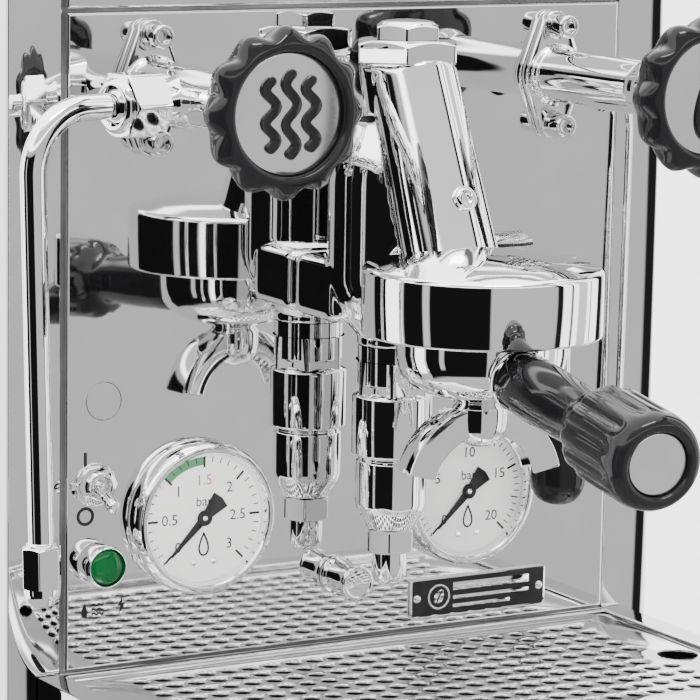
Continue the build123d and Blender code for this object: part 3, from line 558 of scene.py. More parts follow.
def make_group():
    bell = spun([
        (0, 15), (36.2, 15), (36.2, -1.4, 0.5), (47.4, -1.4, 1.2), (47.4, 24.4, 1.6), (45.2, 25.2, 0.5),
        (34.0, 28.2, 5.0), (0, 32.6),
    ], steps=128)
    stand(bell, spot(0, BELL_FORWARD, BELL_BOTTOM))
    finish_piece("group_bell", bell, "machine", "chrome_casting", ["group_body"])

    neck_foot, neck_top = spot(0, 81.4, 166), spot(0, CAP_FORWARD + 4.9, CAP_HEIGHT - 4)
    lean = neck_top - neck_foot
    neck = stand(spun([(0, 0), (19.4, 0), (17.6, lean.length), (0, lean.length)]), neck_foot, lean)
    crown = stand(spun([
        (0, -20), (16.5, -20), (18.6, -7), (19.4, 0, 0.8), (0, 0),
    ]), spot(0, CAP_FORWARD, CAP_HEIGHT))
    column = stand(spun([
        (0, 0), (15, 0), (15, 4), (22, 12), (28, 24, 5), (28, 74, 8), (20.3, 92), (0, 92),
    ]), spot(0, COLUMN_FORWARD, 131))
    web = stand(spun([(0, 0), (19, 0), (19, 46), (0, 46)]), spot(0, 72, CAM_HEIGHT - 6), Y)
    cam_box = stand(spun([(0, 0), (15, 0), (15, 44), (0, 44)]), spot(0, COLUMN_FORWARD, CAM_HEIGHT), X)
    flange = bar(
        spot(-28.5, 0.2, 140.5) + Vector((0, -COLUMN_FORWARD, 0)), spot(28.5, 0.2, 166.5), 5.0, segments=3,
    )
    stub = stand(spun([(0, -4), (11.9, -4), (11.9, 8), (0, 8)]), spot(0, 0, 153.5), FRONT)
    casting = remeshed(joined(neck, crown, column, web, cam_box, flange, stub), 0.85, 10)
    finish_piece("group_casting", casting, "machine", "chrome_casting", ["group_body"], crease=180)


def make_cap():
    cap = stand(hexagon(39, 0.4, 10, 18.9, 19.8), spot(0, CAP_FORWARD, CAP_HEIGHT))
    collar = stand(spun([(0, -1), (18.2, -1), (18.2, 1, 0.3), (0, 1)]), spot(0, CAP_FORWARD, CAP_HEIGHT))
    finish_piece("group_cap_skin", joined(cap, collar), "machine", "chrome_turned", ["group_cap"])
    plug = stand(hexagon(24.5, 0.2, 6.2, 11.6), spot(0, CAP_FORWARD, CAP_HEIGHT + 10))
    dome = stand(spun([
        (0, 0), (11.4, 0), (10.6, 1.2, 0.8), (6, 2.0, 3), (0, 2.1),
    ], 64), spot(0, CAP_FORWARD, CAP_HEIGHT + 16))
    screw = spun([
        (0, 0.6), (1.9, 0.6), (2.3, 2.2), (3.4, 2.6, 0.4), (4.2, 1.6), (5.0, 1.6, 0.3), (5.4, -2), (0, -2),
    ], 48)
    stand(screw, spot(0, 87.6, 196.6), Vector((0, -0.911, 0.413)))
    finish_piece("group_plug_skins", joined(plug, dome, screw), "machine", "chrome_turned", ["group_plugs"])


def make_chamber():
    outline = [
        (0, 55), (10.2, 55, 0.8), (14.6, 64, 2.0), (14.6, 83.2, 0.4), (13.6, 84, 0.2), (13.6, 85, 0.2),
        (16.6, 86, 0.8), (16.6, 110.5, 0.8), (13.8, 112, 0.2), (13.8, 114.6, 0.2), (14.6, 115.4, 0.3),
        (14.6, 131.2), (0, 131.2),
    ]
    chamber = stand(spun(outline), spot(0, COLUMN_FORWARD, 0))
    collar = stand(hexagon(27.5, 111, 125, 15.4), spot(0, COLUMN_FORWARD, 0))
    finish_piece(
        "chamber_skin", joined(chamber, collar), "machine", "chrome_casting", ["preinfusion_chamber"],
        material=FINISH["chrome_turned"],
    )
    nut = stand(hexagon(18.5, 45, 55, 8.9, 8.9), spot(0, COLUMN_FORWARD, 0))
    tip = stand(spun([
        (3.4, 40), (3.4, 32.2, 0.4), (5.6, 31.8, 0.5), (7.2, 34, 0.6), (7.2, 45.5), (0, 45.5), (0, 40),
    ], 64), spot(0, COLUMN_FORWARD, 0))
    finish_piece("nozzle_skin", joined(nut, tip), "machine", "chrome_turned", ["discharge_nozzle"])


def make_lever():
    pivot = spot(LEVER_X, COLUMN_FORWARD, CAM_HEIGHT)
    hub = stand(spun([
        (0, 0), (8.5, 0), (11, 2.5, 0.8), (11, 22, 1.0), (9.4, 28, 3.0), (4.5, 31.2, 2.0), (0, 31.9),
    ]), spot(62, COLUMN_FORWARD, CAM_HEIGHT), X)
    arm = stand(spun([(0, 4), (5.3, 4), (4.2, 30, 8), (4.0, 66), (0, 66)], 48), pivot, -Z)
    ring = stand(spun([(0, 62.5), (5.3, 62.5, 0.5), (5.3, 66, 0.3), (0, 66)], 48), pivot, -Z)
    finish_piece("lever_arm_skin", joined(hub, arm, ring), "brew_lever", "chrome_turned", ["lever_arm"])
    grip = stand(spun([
        (0, 66), (5.6, 66, 0.5), (6.3, 72, 4), (8.6, 84, 8), (12.1, 96, 5), (11.4, 104.5, 4), (6, 109.4, 3),
        (0, 110),
    ], 72), pivot, -Z)
    finish_piece("lever_grip_skin", grip, "brew_lever", "black_bakelite", ["lever_grip"])


# ---- portafilter ----
def handle_frame():
    """Start and direction of the handle, from its ferrule's and its cap's boxes."""
    ends = [middle("handle_ferrule"), middle("handle_cap")]
    along = (ends[1] - ends[0]).normalized()
    return ends[0] - along * 2.5, along


def make_bowl():
    bowl = stand(spun([
        (0, 117), (9.5, 117, 0.5), (9.5, 119.2, 0.6), (15, 120.6, 2), (25, 123.4, 3), (31.4, 128.6, 3),
        (33.6, 136, 3), (33.6, 153.6, 0.4), (30.9, 153.6, 0.3), (30.9, 136), (26, 128), (0, 126),
    ], 96), spot(0, BELL_FORWARD, 0))
    start, along = handle_frame()
    boss = stand(spun([(0, -7), (8.6, -7), (8.9, -1, 0.5), (8.9, 0.2), (0, 0.2)], 48), start, along)
    ears = stand(spun([
        (33, 149, 0.3), (35.8, 149, 0.4), (35.8, 152, 0.4), (33, 152, 0.3),
    ], 96, ring=True), spot(0, BELL_FORWARD, 0))
    bmesh.ops.bisect_plane(
        ears, geom=ears.verts[:] + ears.edges[:] + ears.faces[:], plane_co=spot(-16, 0, 0), plane_no=X,
        clear_inner=False, clear_outer=False,
    )
    finish_piece("bowl_skin", joined(bowl, boss, ears), "portafilter", "chrome_casting", ["portafilter_body"])


def make_handle():
    start, along = handle_frame()
    ferrule = stand(spun([
        (0, 0), (10.6, 0, 0.3), (12.4, 1.3, 0.7), (12.4, 3.6, 0.7), (11.2, 4.4, 0.3), (11.2, 5), (0, 5),
    ], 72), start, along)
    finish_piece("ferrule_skin", ferrule, "portafilter", "chrome_turned", ["handle_ferrule"])
    end = (middle("handle_cap") - start).dot(along) + 2.3
    flutes = 12

    def ring(radius, level, depth=0.0):
        return lambda angle: (radius - depth * (0.5 - 0.5 * cos(flutes * angle)) ** 2, level)

    levels = [
        (11.4, 5), (12.0, 5.4), (12.4, 6.6), (12.3, 20), (12.1, 36), (11.4, 52), (10.9, 61),
        (10.9, 64), (11.5, 66.6), (13.0, 69.3), (15.2, 71.6, 0.2), (17.2, 74, 0.7), (18.3, 77, 1.1),
        (18.6, 80, 1.3), (18.6, 90, 1.3), (18.6, end - 14, 1.3), (18.6, end - 11, 1.1),
        (18.5, end - 8, 0.5), (18.2, end - 6), (17.6, end - 3.6), (16.4, end - 1.6), (14.8, end - 0.4),
        (13.6, end - 0.1), (12.6, end - 0.5), (12.0, end - 1.4), (11.8, end - 4),
    ]
    handle = stand(lofted([ring(*level) for level in levels], 144), start, along)
    finish_piece("handle_skin", handle, "portafilter", "black_bakelite", ["portafilter_handle"], crease=45)
    cap = stand(spun([
        (0, end - 4), (11.6, end - 4), (11.6, end - 2.2, 0.5), (9, end - 1.6, 3), (0, end - 1.2),
    ], 72), start, along)
    finish_piece("handle_cap_skin", cap, "portafilter", "satin_disc", ["handle_cap"])


def make_spout():
    """Arched flat-sided channel under a domed hub, turned with the handle."""
    _, along = handle_frame()
    side = Vector((-along.y, along.x, 0)).normalized()
    square = Vector((along.x, along.y, 0)).normalized()
    depth, outer, inner, sink = 7.0, 33.0, 21.5, 1.5
    mouth = 0.21
    section = [
        (inner, -depth), (outer, -depth), (outer, depth), (inner, depth), (inner, depth - sink),
        (inner + 5, depth - sink - 3), (inner + 5, sink + 3 - depth), (inner, sink - depth),
    ]
    arch = bmesh.new()
    verts = [
        arch.verts.new((radius * cos(mouth), radius * sin(mouth), level)) for radius, level in section
    ]
    face = arch.faces.new(verts)
    bmesh.ops.spin(
        arch, geom=[face], cent=(0, 0, 0), axis=(0, 0, 1), angle=pi - 2 * mouth, steps=48, use_merge=False,
    )
    closed(arch)
    soften(arch, sharp_edges(arch, 0.6), 0.7)
    stand(arch, spot(0, BELL_FORWARD, 85), square, side.cross(square).cross(square) * -1)
    hub = stand(spun([
        (0, 100.6), (5.5, 101.2, 2), (9.8, 104.6, 3), (11, 110, 2), (11, 117, 0.8), (9.4, 118.7), (0, 118.7),
    ], 64), spot(0, BELL_FORWARD, 0))
    finish_piece("spout_skin", joined(arch, hub), "portafilter", "chrome_casting", ["portafilter_spout"])


# ---- valves, knobs and wands ----
def make_valve(side, name):
    axis = spot(side * VALVE_X, 0, VALVE_HEIGHT)
    barrel = stand(spun([
        (0, -12), (9.8, -12), (9.8, 0), (13.4, 0.2), (13.4, 7.5, 0.8), (11.4, 9.0, 1), (11.25, 74, 2),
        (13.6, 82, 2), (13.6, 93.5, 0.8), (10.5, 98.8, 1.0), (0, 99),
    ], 72), axis, FRONT)
    half_width, bolt_rise, lug = 14.0, 21.0, 6.4
    lean = atan2(half_width - lug, bolt_rise)
    points = []
    for rise, radius, first in (
        (bolt_rise, lug, lean), (0, half_width, pi - lean), (-bolt_rise, lug, pi + lean),
        (0, half_width, -lean),
    ):
        sweep = pi - 2 * lean if radius == lug else 2 * lean
        points += arc((0, rise), radius, first, sweep, 12)
    flange = plate(points, 5.0)
    soften(flange, sharp_edges(flange), 0.8)
    stand(flange, axis + FRONT * 0.2, FRONT, X)
    turn = radians(PORT_TURN)
    way = Vector((side * cos(turn), -sin(turn), 0))
    foot = spot(side * VALVE_X, PORT_FORWARD, PORT_HEIGHT)
    neck = stand(spun([(0, 0), (10.6, 0), (10.2, 9), (9.0, 12.5, 3), (9.0, 24.2), (0, 24.2)], 64), foot, way)
    body = joined(barrel, flange, neck)
    finish_piece(f"{name}_valve_skin", body, "machine", "chrome_casting", ["valve_bodies"])
    bolts = []
    for rise in (-bolt_rise, bolt_rise):
        washer = spun([(3.2, 5.2), (5.9, 5.2, 0.2), (5.9, 6.0, 0.2), (3.2, 6.0)], 48, ring=True)
        head = spun([
            (0, 12.2), (2.7, 12.2), (2.7, 15.4, 0.3), (4.2, 15.6, 0.4), (4.9, 14.6, 0.3), (4.9, 6.0, 0.2),
            (0, 6.0),
        ], 48)
        bolts.append(stand(joined(washer, head), spot(side * VALVE_X, 0, VALVE_HEIGHT + rise), FRONT))
    finish_piece(f"{name}_valve_bolts", joined(*bolts), "machine", "bolt_steel", ["valve_bolts"])
    return foot, way


def make_knob(side, name):
    lobes = 12

    def ring(radius, forward, depth=0.0):
        return lambda angle: (radius - depth * (1 - (0.5 + 0.5 * cos(lobes * angle)) ** 0.75), forward)

    back, front = KNOB_BACK, KNOB_FRONT
    levels = [
        (13.0, back - 2.6), (20.0, back - 1.8), (26.5, back, 0.5), (29.2, back + 1.2, 1.6),
        (30.6, back + 3.2, 2.6), (31.8, back + 6.0, 3.3), (32.5, back + 8.6, 3.7), (32.7, back + 10.6, 3.8),
        (32.2, back + 12.4, 3.4), (30.9, back + 14.0, 2.5), (29.2, back + 15.3, 1.3),
        (27.6, back + 16.2, 0.4), (26.3, front - 0.3), (25.2, front), (24.2, front - 0.3),
        (23.5, front - 1.1), (23.3, front - 2.2), (23.2, front - 4),
    ]
    centre = spot(side * VALVE_X, 0, VALVE_HEIGHT)
    wheel = stand(lofted([ring(*level) for level in levels], 240), centre, FRONT)
    finish_piece(
        f"{name}_knob_skin", wheel, f"{name}_wheel", "black_bakelite", [f"{name}_knob"], crease=50,
    )
    disc = stand(spun([
        (0, back - 5), (6, back - 5), (6, back - 2, 0.3), (10, back - 1.9), (10, front - 6),
        (23.1, front - 4.2), (22.8, front - 3.4, 0.3), (15, front - 2.1, 6), (0, front - 1.2),
    ], 96), centre, FRONT)
    finish_piece(f"{name}_disc", disc, f"{name}_wheel", "satin_disc", [f"{name}_spindle"])
    glyph = joined(*(droplet_outline() if side > 0 else steam_outline()))
    stand(glyph, centre + FRONT * (front - 2.9), FRONT, X)
    finish_piece(f"{name}_glyph", glyph, f"{name}_wheel", "black_bakelite")


def drop_line(half_width, half_height, steps, shift=0.0):
    """Points all the way round a water drop."""
    angles = [tau * step / steps for step in range(steps + 1)]
    return [
        (half_width * sin(angle) * sin(angle / 2) ** 1.3, half_height * cos(angle) + shift)
        for angle in angles
    ]


def ribbon(points, width, thickness, round_edges=0.5):
    """A raised stroke that follows a line of points, with round ends."""
    left, right = [], []
    for number, point in enumerate(points):
        before = Vector(points[max(number - 1, 0)])
        after = Vector(points[min(number + 1, len(points) - 1)])
        along = (after - before).normalized()
        across = Vector((-along.y, along.x)) * width / 2
        left.append(Vector(point) + across)
        right.append(Vector(point) - across)

    def end(point, start, sign):
        base = atan2(start.y - point.y, start.x - point.x)
        return [
            point + Vector((cos(base + sign * pi * step / 8), sin(base + sign * pi * step / 8))) * width / 2
            for step in range(1, 8)
        ]

    far_end, near_end = end(Vector(points[-1]), left[-1], -1), end(Vector(points[0]), right[0], -1)
    outline = left + far_end + right[::-1] + near_end
    stroke = plate([(point.x, point.y) for point in outline], thickness)
    if round_edges:
        soften(stroke, sharp_edges(stroke), round_edges)
    return stroke


def steam_outline():
    """Three rising waves in a raised stroke."""
    strokes = []
    for offset in (-8.5, 0, 8.5):
        height = 12.5 if offset else 15.0
        line = [
            (offset + 2.4 * sin(step / 12 * tau), -height + 2 * height * step / 24) for step in range(25)
        ]
        strokes.append(ribbon(line, 3.8, 2.6, 0.7))
    return strokes


def droplet_outline():
    """A water drop in a raised stroke."""
    return [ribbon(drop_line(9.6, 15.5, 48, -1.0), 3.6, 2.6, 0.7)]


def make_wand(name, foot, way):
    centre = foot + way * BALL_REACH
    nut = stand(hexagon(24, -13.5, 4.2, 11.9, 11.4), centre, way)
    nose = stand(spun([
        (7.6, 5.5), (7.9, 6.9, 0.4), (9.2, 6.9, 0.6), (10.6, 5.6, 0.5), (10.9, 4), (0, 4),
    ], 64), centre, way)
    gap = stand(spun([(0, -15.5), (9.6, -15.5), (9.6, -13), (0, -13)], 64), centre, way)
    finish_piece(f"{name}_nut_skin", joined(nut, nose, gap), "machine", "chrome_turned", ["hex_nuts"])
    corner_reach = (WAND_X - abs(centre.x)) / cos(radians(PORT_TURN))
    corner = centre + way * corner_reach
    low = Vector((corner.x - way.x * WAND_LEAN, corner.y - way.y * WAND_LEAN, PANEL_LOW.z + WAND_END + 24))
    down = (low - corner).normalized()
    bend = 24.0
    angle = way.angle(down)
    setback = bend * tan(angle / 2)
    axis = way.cross(down).normalized()
    first, last = centre + way * 2, corner - way * setback
    pipe = bmesh.new()
    bmesh.ops.create_circle(pipe, segments=40, radius=WAND_RADIUS)
    stand(pipe, first, way)
    edges = pipe.edges[:]

    def pull(edges, shift):
        verts, line = grown(pipe, edges)
        bmesh.ops.translate(pipe, vec=shift, verts=verts)
        return line

    edges = pull(edges, last - first)
    pivot = last + axis.cross(way) * bend
    spun_end = bmesh.ops.spin(
        pipe, geom=edges + list({vert for edge in edges for vert in edge.verts}), cent=pivot, axis=axis,
        angle=angle, steps=24, use_merge=False,
    )["geom_last"]
    edges = [item for item in spun_end if isinstance(item, bmesh.types.BMEdge)]
    bend_end = corner + down * setback
    pull(edges, low - bend_end + down * 1.0)
    closed(pipe)
    tip = stand(hexagon(14, 0, 16.5, 6.9, 6.4), low, down)
    dome = stand(spun([
        (0, 15), (6.9, 15), (7.2, 19, 1.5), (5.6, 23, 2.5), (1.2, 24.5, 0.5), (0.8, 22.5), (0, 22.5),
    ], 48), low, down)
    ferrule = stand(spun([(0, -1.5), (5.4, -1.5, 0.3), (6.2, 0.4, 0.3), (0, 0.4)], 48), low, down)
    wand = joined(pipe, tip, dome, ferrule)
    finish_piece(f"{name}_wand_skin", wand, f"{name}_pipe", "chrome_turned", [f"{name}_wand"])


def make_gland():
    foot = spot(44, COLUMN_FORWARD, CAM_HEIGHT)
    gland = stand(hexagon(26, 0.2, 13.6, 12.4, 12.4), foot, X)
    collar = stand(spun([(0, 13), (10.4, 13), (10.4, 15.6, 0.6), (8.4, 16.4), (0, 16.4)], 64), foot, X)
    finish_piece("gland_skin", joined(gland, collar), "machine", "chrome_turned", ["hex_nuts"])


# ---- gauges ----
SCALE_SWEEP = 270


def arc_band(radius, width, start, end, steps=24):
    """Flat band between two clock angles, in degrees from straight up."""
    angles = [radians(start + (end - start) * step / steps) for step in range(steps + 1)]
    outer = [(sin(angle) * (radius + width), cos(angle) * (radius + width)) for angle in angles]
    inner = [(sin(angle) * radius, cos(angle) * radius) for angle in angles[::-1]]
    return plate(outer + inner, 0.06)


def tick(radius, length, width, angle):
    """One mark of a scale, at a clock angle in degrees from straight up."""
    mark = bar((-width / 2, radius - length, 0), (width / 2, radius, 0.06))
    return twisted(mark, -radians(angle))


def make_gauge(name, x, figures, reds, green, small_steps):
    """Bezel, dial with its scale and figures, needle and two dial screws."""
    centre = spot(x, 0, GAUGE_HEIGHT)
    bezel = stand(spun([
        (28.1, 0.1), (31.7, 0.1, 0.4), (32.0, 2.0, 0.4), (32.0, 6.2, 1.5), (31.0, 9.6, 1.5),
        (29.6, 11.0, 0.9), (28.0, 10.9, 0.5), (27.3, 9.6, 0.4), (27.0, 6.0), (28.1, 5.8),
    ], 128, ring=True), centre, FRONT)
    finish_piece(f"{name}_bezel_skin", bezel, "machine", "chrome_turned", ["gauge_bezels"])
    dial = spun([(0, 5.0), (27.8, 5.0), (27.8, 5.6, 0.2), (26.6, 5.75), (0, 5.8)], 96)
    stand(dial, centre, FRONT, X)
    finish_piece(f"{name}_dial_plate", dial, "machine", "dial_white", ["gauge_dials"])

    marks, red_marks = [], []
    steps = small_steps * (len(figures) - 1)
    for number in range(steps + 1):
        angle = SCALE_SWEEP * number / steps - SCALE_SWEEP / 2
        major = number % small_steps == 0
        middling = number * 2 % small_steps == 0
        length, width = (4.6, 0.95) if major else (3.4, 0.55) if middling else (2.4, 0.42)
        marks.append(tick(25.6, length, width, angle))
    for number, words in enumerate(figures):
        angle = radians(SCALE_SWEEP * number / (len(figures) - 1) - SCALE_SWEEP / 2)
        figure = lettering(words, 6.2)
        inset = 16.6 if len(words) < 3 else 15.6
        moved(figure, inset * sin(angle), inset * cos(angle))
        (red_marks if words in reds else marks).append(figure)
    marks.append(moved(lettering("bar", 5.8), 0, 6.8))
    marks.append(ribbon(drop_line(2.9, 4.6, 24, -11.0), 0.8, 0.06, 0))
    placed = stand(joined(*marks), centre + FRONT * 5.82, FRONT, X)
    finish_piece(f"{name}_scale", placed, "machine", "needle_black")
    band = stand(arc_band(22.0, 3.4, *green), centre + FRONT * 5.81, FRONT, X)
    finish_piece(f"{name}_green_band", band, "machine", "dial_white", material=DIAL_GREEN)
    if red_marks:
        red = stand(joined(*red_marks), centre + FRONT * 5.82, FRONT, X)
        finish_piece(f"{name}_red_figure", red, "machine", "dial_white", material=DIAL_RED)
    screws = []
    for side in (-1, 1):
        head = spun([(0, 0.2), (1.3, 0.2, 0.2), (1.5, -0.2), (0, -0.2)], 32)
        screws.append(moved(head, side * 4.6, -18.4))
    screws = stand(joined(*screws), centre + FRONT * 5.9, FRONT, X)
    finish_piece(f"{name}_dial_screws", screws, "machine", "bolt_steel")

    blade = plate([(-1.9, -2), (1.9, -2), (0.45, 21.3), (-0.45, 21.3)], 0.5)
    tail = plate([(-1.6, 0), (-4.3, -10.3), (0, -11.2), (4.3, -10.3), (1.6, 0)], 0.5)
    hub = spun([(1.2, 0), (3.3, 0, 0.1), (3.3, 0.9, 0.3), (1.2, 0.9)], 48, ring=True)
    pointer = twisted(joined(blade, tail, hub), radians(SCALE_SWEEP / 2))
    stand(pointer, centre + FRONT * 6.35, FRONT, X)
    rides, replaced = (
        ("boiler_pointer", "boiler_needle") if x < 0 else ("pump_pointer", "pump_needle")
    )
    finish_piece(f"{name}_pointer", pointer, rides, "needle_black", [replaced])
    cap = stand(spun([(0, 0), (1.15, 0), (1.15, 1.8, 0.4), (0, 2.0)], 32), centre + FRONT * 5.6, FRONT)
    finish_piece(f"{name}_pin", cap, "machine", "bolt_steel")


# ---- switch, lamp, badge and small fittings ----
def make_switch():
    at = middle("switch_lever")
    x, height = at.x, SWITCH_HEIGHT
    foot, hinge = spot(x, 0, height), spot(x, 2, height)
    nut = stand(hexagon(15.5, 0.3, 3.0, 7.3), foot, FRONT)
    washer = stand(spun([(0, 0), (9.0, 0, 0.1), (9.0, 0.9, 0.3), (0, 0.9)], 64), foot, FRONT)
    thread = stand(spun([
        (4.6, 3), (5.9, 3), (5.9, 5.4, 0.4), (5.2, 6.0, 0.2), (4.6, 5.6), (3.4, 2.5),
    ], 48, ring=True), foot, FRONT)
    bore = stand(spun([(0, -10), (4.7, -10), (4.7, 2.6), (3.2, 2.6), (0, 2.0)], 48), foot, FRONT)
    key_tab = bar(spot(x - 11.0, 1.3, height - 1.3), spot(x - 7.0, 0.1, height + 1.3), 0.2)
    mount = joined(nut, washer, thread, bore, key_tab)
    finish_piece("switch_skin", mount, "machine", "chrome_turned", ["switch_body"])
    droop = radians(22)
    way = Vector((0, -cos(droop), -sin(droop)))
    bat = stand(spun([
        (0, 0), (1.9, 0), (1.8, 5, 2), (2.2, 9, 2), (2.9, 15, 1.5), (2.6, 17.4, 0.8), (0, 18.2),
    ], 48), hinge, way)
    ball = stand(spun([(0, -3.1), (3.1, -3.1, 2.2), (3.1, 3.1, 2.2), (0, 3.1)], 48), hinge, way)
    finish_piece("switch_bat", joined(bat, ball), "power_toggle", "chrome_turned", ["switch_lever"])


def make_pilot():
    at = middle("pilot_lens")
    foot = Vector((at.x, PANEL_LOW.y, at.z))
    housing = stand(spun([
        (6, -10), (6, 0), (9.0, 0.1, 0.3), (9.0, 8.4, 0.8), (8.3, 10.4, 0.5), (7.7, 10.4, 0.3),
        (7.6, 4), (0, 4), (0, -10),
    ], 72), foot, FRONT)
    finish_piece("pilot_bezel", housing, "machine", "chrome_turned", ["pilot_housing"])
    dome = [(7.4, 4.2), (7.4, 8.6)]
    dome += [(7.4 * cos(step * pi / 16), 8.6 + 2.9 * sin(step * pi / 16)) for step in range(1, 8)]
    lens = stand(spun([(0, 4.2)] + dome + [(0, 11.5)], 72), foot, FRONT)
    finish_piece("pilot_lens_skin", lens, "machine", "green_lens", ["pilot_lens"])


def make_panel_marks():
    """Printed marks beside the switch and under the lamp."""
    ink = [
        moved(bar((-0.7, -3.4, 0), (0.7, 3.4, 0.05)), -121.8, 86.3),
        moved(spun([(2.6, 0), (3.9, 0), (3.9, 0.05), (2.6, 0.05)], 48, ring=True), -121.7, 63.5),
        moved(plate(drop_line(1.9, 3.1, 32)[:-1], 0.05), -122.0, 24.6),
    ]
    pace, length = 0.4, 4.8
    for rise in (-1.9, 0, 1.9):
        line = [
            (-2.4 + step * pace, rise + 0.45 * sin(step * pace / length * tau * 2)) for step in range(13)
        ]
        ink.append(moved(ribbon(line, 0.75, 0.05, 0), -116.0, 24.6))
    bolt = plate([(0.9, 4.2), (-1.6, -0.4), (-0.1, -0.2), (-1.2, -4.4), (1.9, 0.9), (0.3, 0.6)], 0.05)
    ink.append(moved(bolt, -105.5, 25.4))
    marks = stand(joined(*ink), spot(0, 0.02, 0), FRONT, X)
    finish_piece("panel_marks", marks, "machine", "needle_black")
    seam = spun([(7.35, -0.2), (7.6, 0.14), (7.85, -0.2)], 96, ring=True)
    stand(seam, spot(-113.7, 0, 110.2), FRONT)
    finish_piece("plug_seam", seam, "machine", "dark_steel")


def make_badge():
    """Black plate with a bright edge, a ring emblem with a bean in it and plain bars."""
    low, high = node_box("badge_plate")
    width, height = high.x - low.x, high.z - low.z
    origin = Vector(((low.x + high.x) / 2, PANEL_LOW.y, (low.z + high.z) / 2))
    emblem_x, relief_base = -width / 2 + 14.2, 1.45

    def rounded(half_width, half_height, radius, thickness, base):
        across, up = half_width - radius, half_height - radius
        points = []
        for corner, first in (
            ((across, up), 0), ((-across, up), pi / 2), ((-across, -up), pi), ((across, -up), 3 * pi / 2),
        ):
            points += arc(corner, radius, first, pi / 2, 6)
        return moved(plate(points, thickness), 0, 0, base)

    edge = rounded(width / 2, height / 2, 1.6, 1.3, 0.1)
    soften(edge, sharp_edges(edge), 0.35)
    ring = spun([(4.7, 1.4), (5.5, 1.4), (5.5, 1.8, 0.15), (4.7, 1.8, 0.15)], 64, ring=True)
    moved(ring, emblem_x, 0)
    rivets = []
    for end in (-1, 1):
        rivet = spun([(0, 2.7), (1.2, 2.4, 0.4), (1.9, 1.6, 0.2), (1.9, 1.2), (0, 1.2)], 32)
        rivets.append(moved(rivet, end * (width / 2 - 3.4), 0))
    bean = []
    for half in (-1, 1):
        outline = [
            (half * (0.35 + 2.0 * sin(pi * step / 16)), 3.5 - 7.0 * step / 16) for step in range(17)
        ]
        bean.append(moved(twisted(plate(outline, 0.35), -0.45), emblem_x, 0, relief_base))
    bars = []
    for rise, end, thick in ((3.9, 25.5, 3.4), (-0.9, 25.5, 1.5), (-4.6, 16.0, 1.5)):
        foot, top = (-13.0, rise - thick / 2, relief_base), (end, rise + thick / 2, 1.72)
        bars.append(bar(foot, top, 0.12))
    field = rounded(width / 2 - 1.0, height / 2 - 1.0, 1.0, 0.2, 1.3)
    enamel = stand(field, origin, FRONT, X)
    finish_piece("badge_field", enamel, "machine", "badge_black", ["badge_plate"])
    metal = stand(joined(edge, ring, *rivets, *bean, *bars), origin, FRONT, X)
    finish_piece("badge_metal", metal, "machine", "badge_black", material=FINISH["chrome_turned"])


def make_adjuster():
    low, high = node_box("adjuster_cap")
    centre = Vector(((low.x + high.x) / 2, PANEL_LOW.y, (low.z + high.z) / 2))
    cap = stand(spun([
        (0, -17), (3.8, -17), (3.8, 0.4), (8.1, 0.4, 0.3), (8.1, 3.0, 0.4), (7.0, 3.9, 0.3), (7.0, 16.6, 0.3),
        (7.4, 17.0, 0.2), (7.4, 19.2, 0.6), (6.3, 19.6, 0.3), (5.6, 19.0, 0.3), (0, 18.8),
    ], 72), centre, FRONT)
    dimple = stand(spun([(0, 19.3), (2.2, 19.2, 0.3), (2.6, 18.4), (0, 18.4)], 32), centre, FRONT)
    finish_piece("adjuster_skin", joined(cap, dimple), "adjuster", "chrome_turned", ["adjuster_cap"])


# ---- casing front, drip tray and grille ----
def make_front_frame():
    """Polished front strips with softly bent outer corners."""
    low, high = node_box("front_frame")
    half = (PANEL_HIGH.x - PANEL_LOW.x) / 2 + 1.3
    outer = high.x
    front, back = PANEL_LOW.y + 2.0, high.y
    sill = PANEL_LOW.z - 1.3
    strips = []
    for side in (-1, 1):
        edges = sorted((side * half, side * outer))
        strips.append(bar((edges[0], front, low.z), (edges[1], back, high.z), 0.6, segments=3))
    strips.append(bar((-half, front, low.z), (half, back, sill), 0.6))
    finish_piece("front_frame_skin", joined(*strips), "machine", "mirror_steel", ["front_frame"])


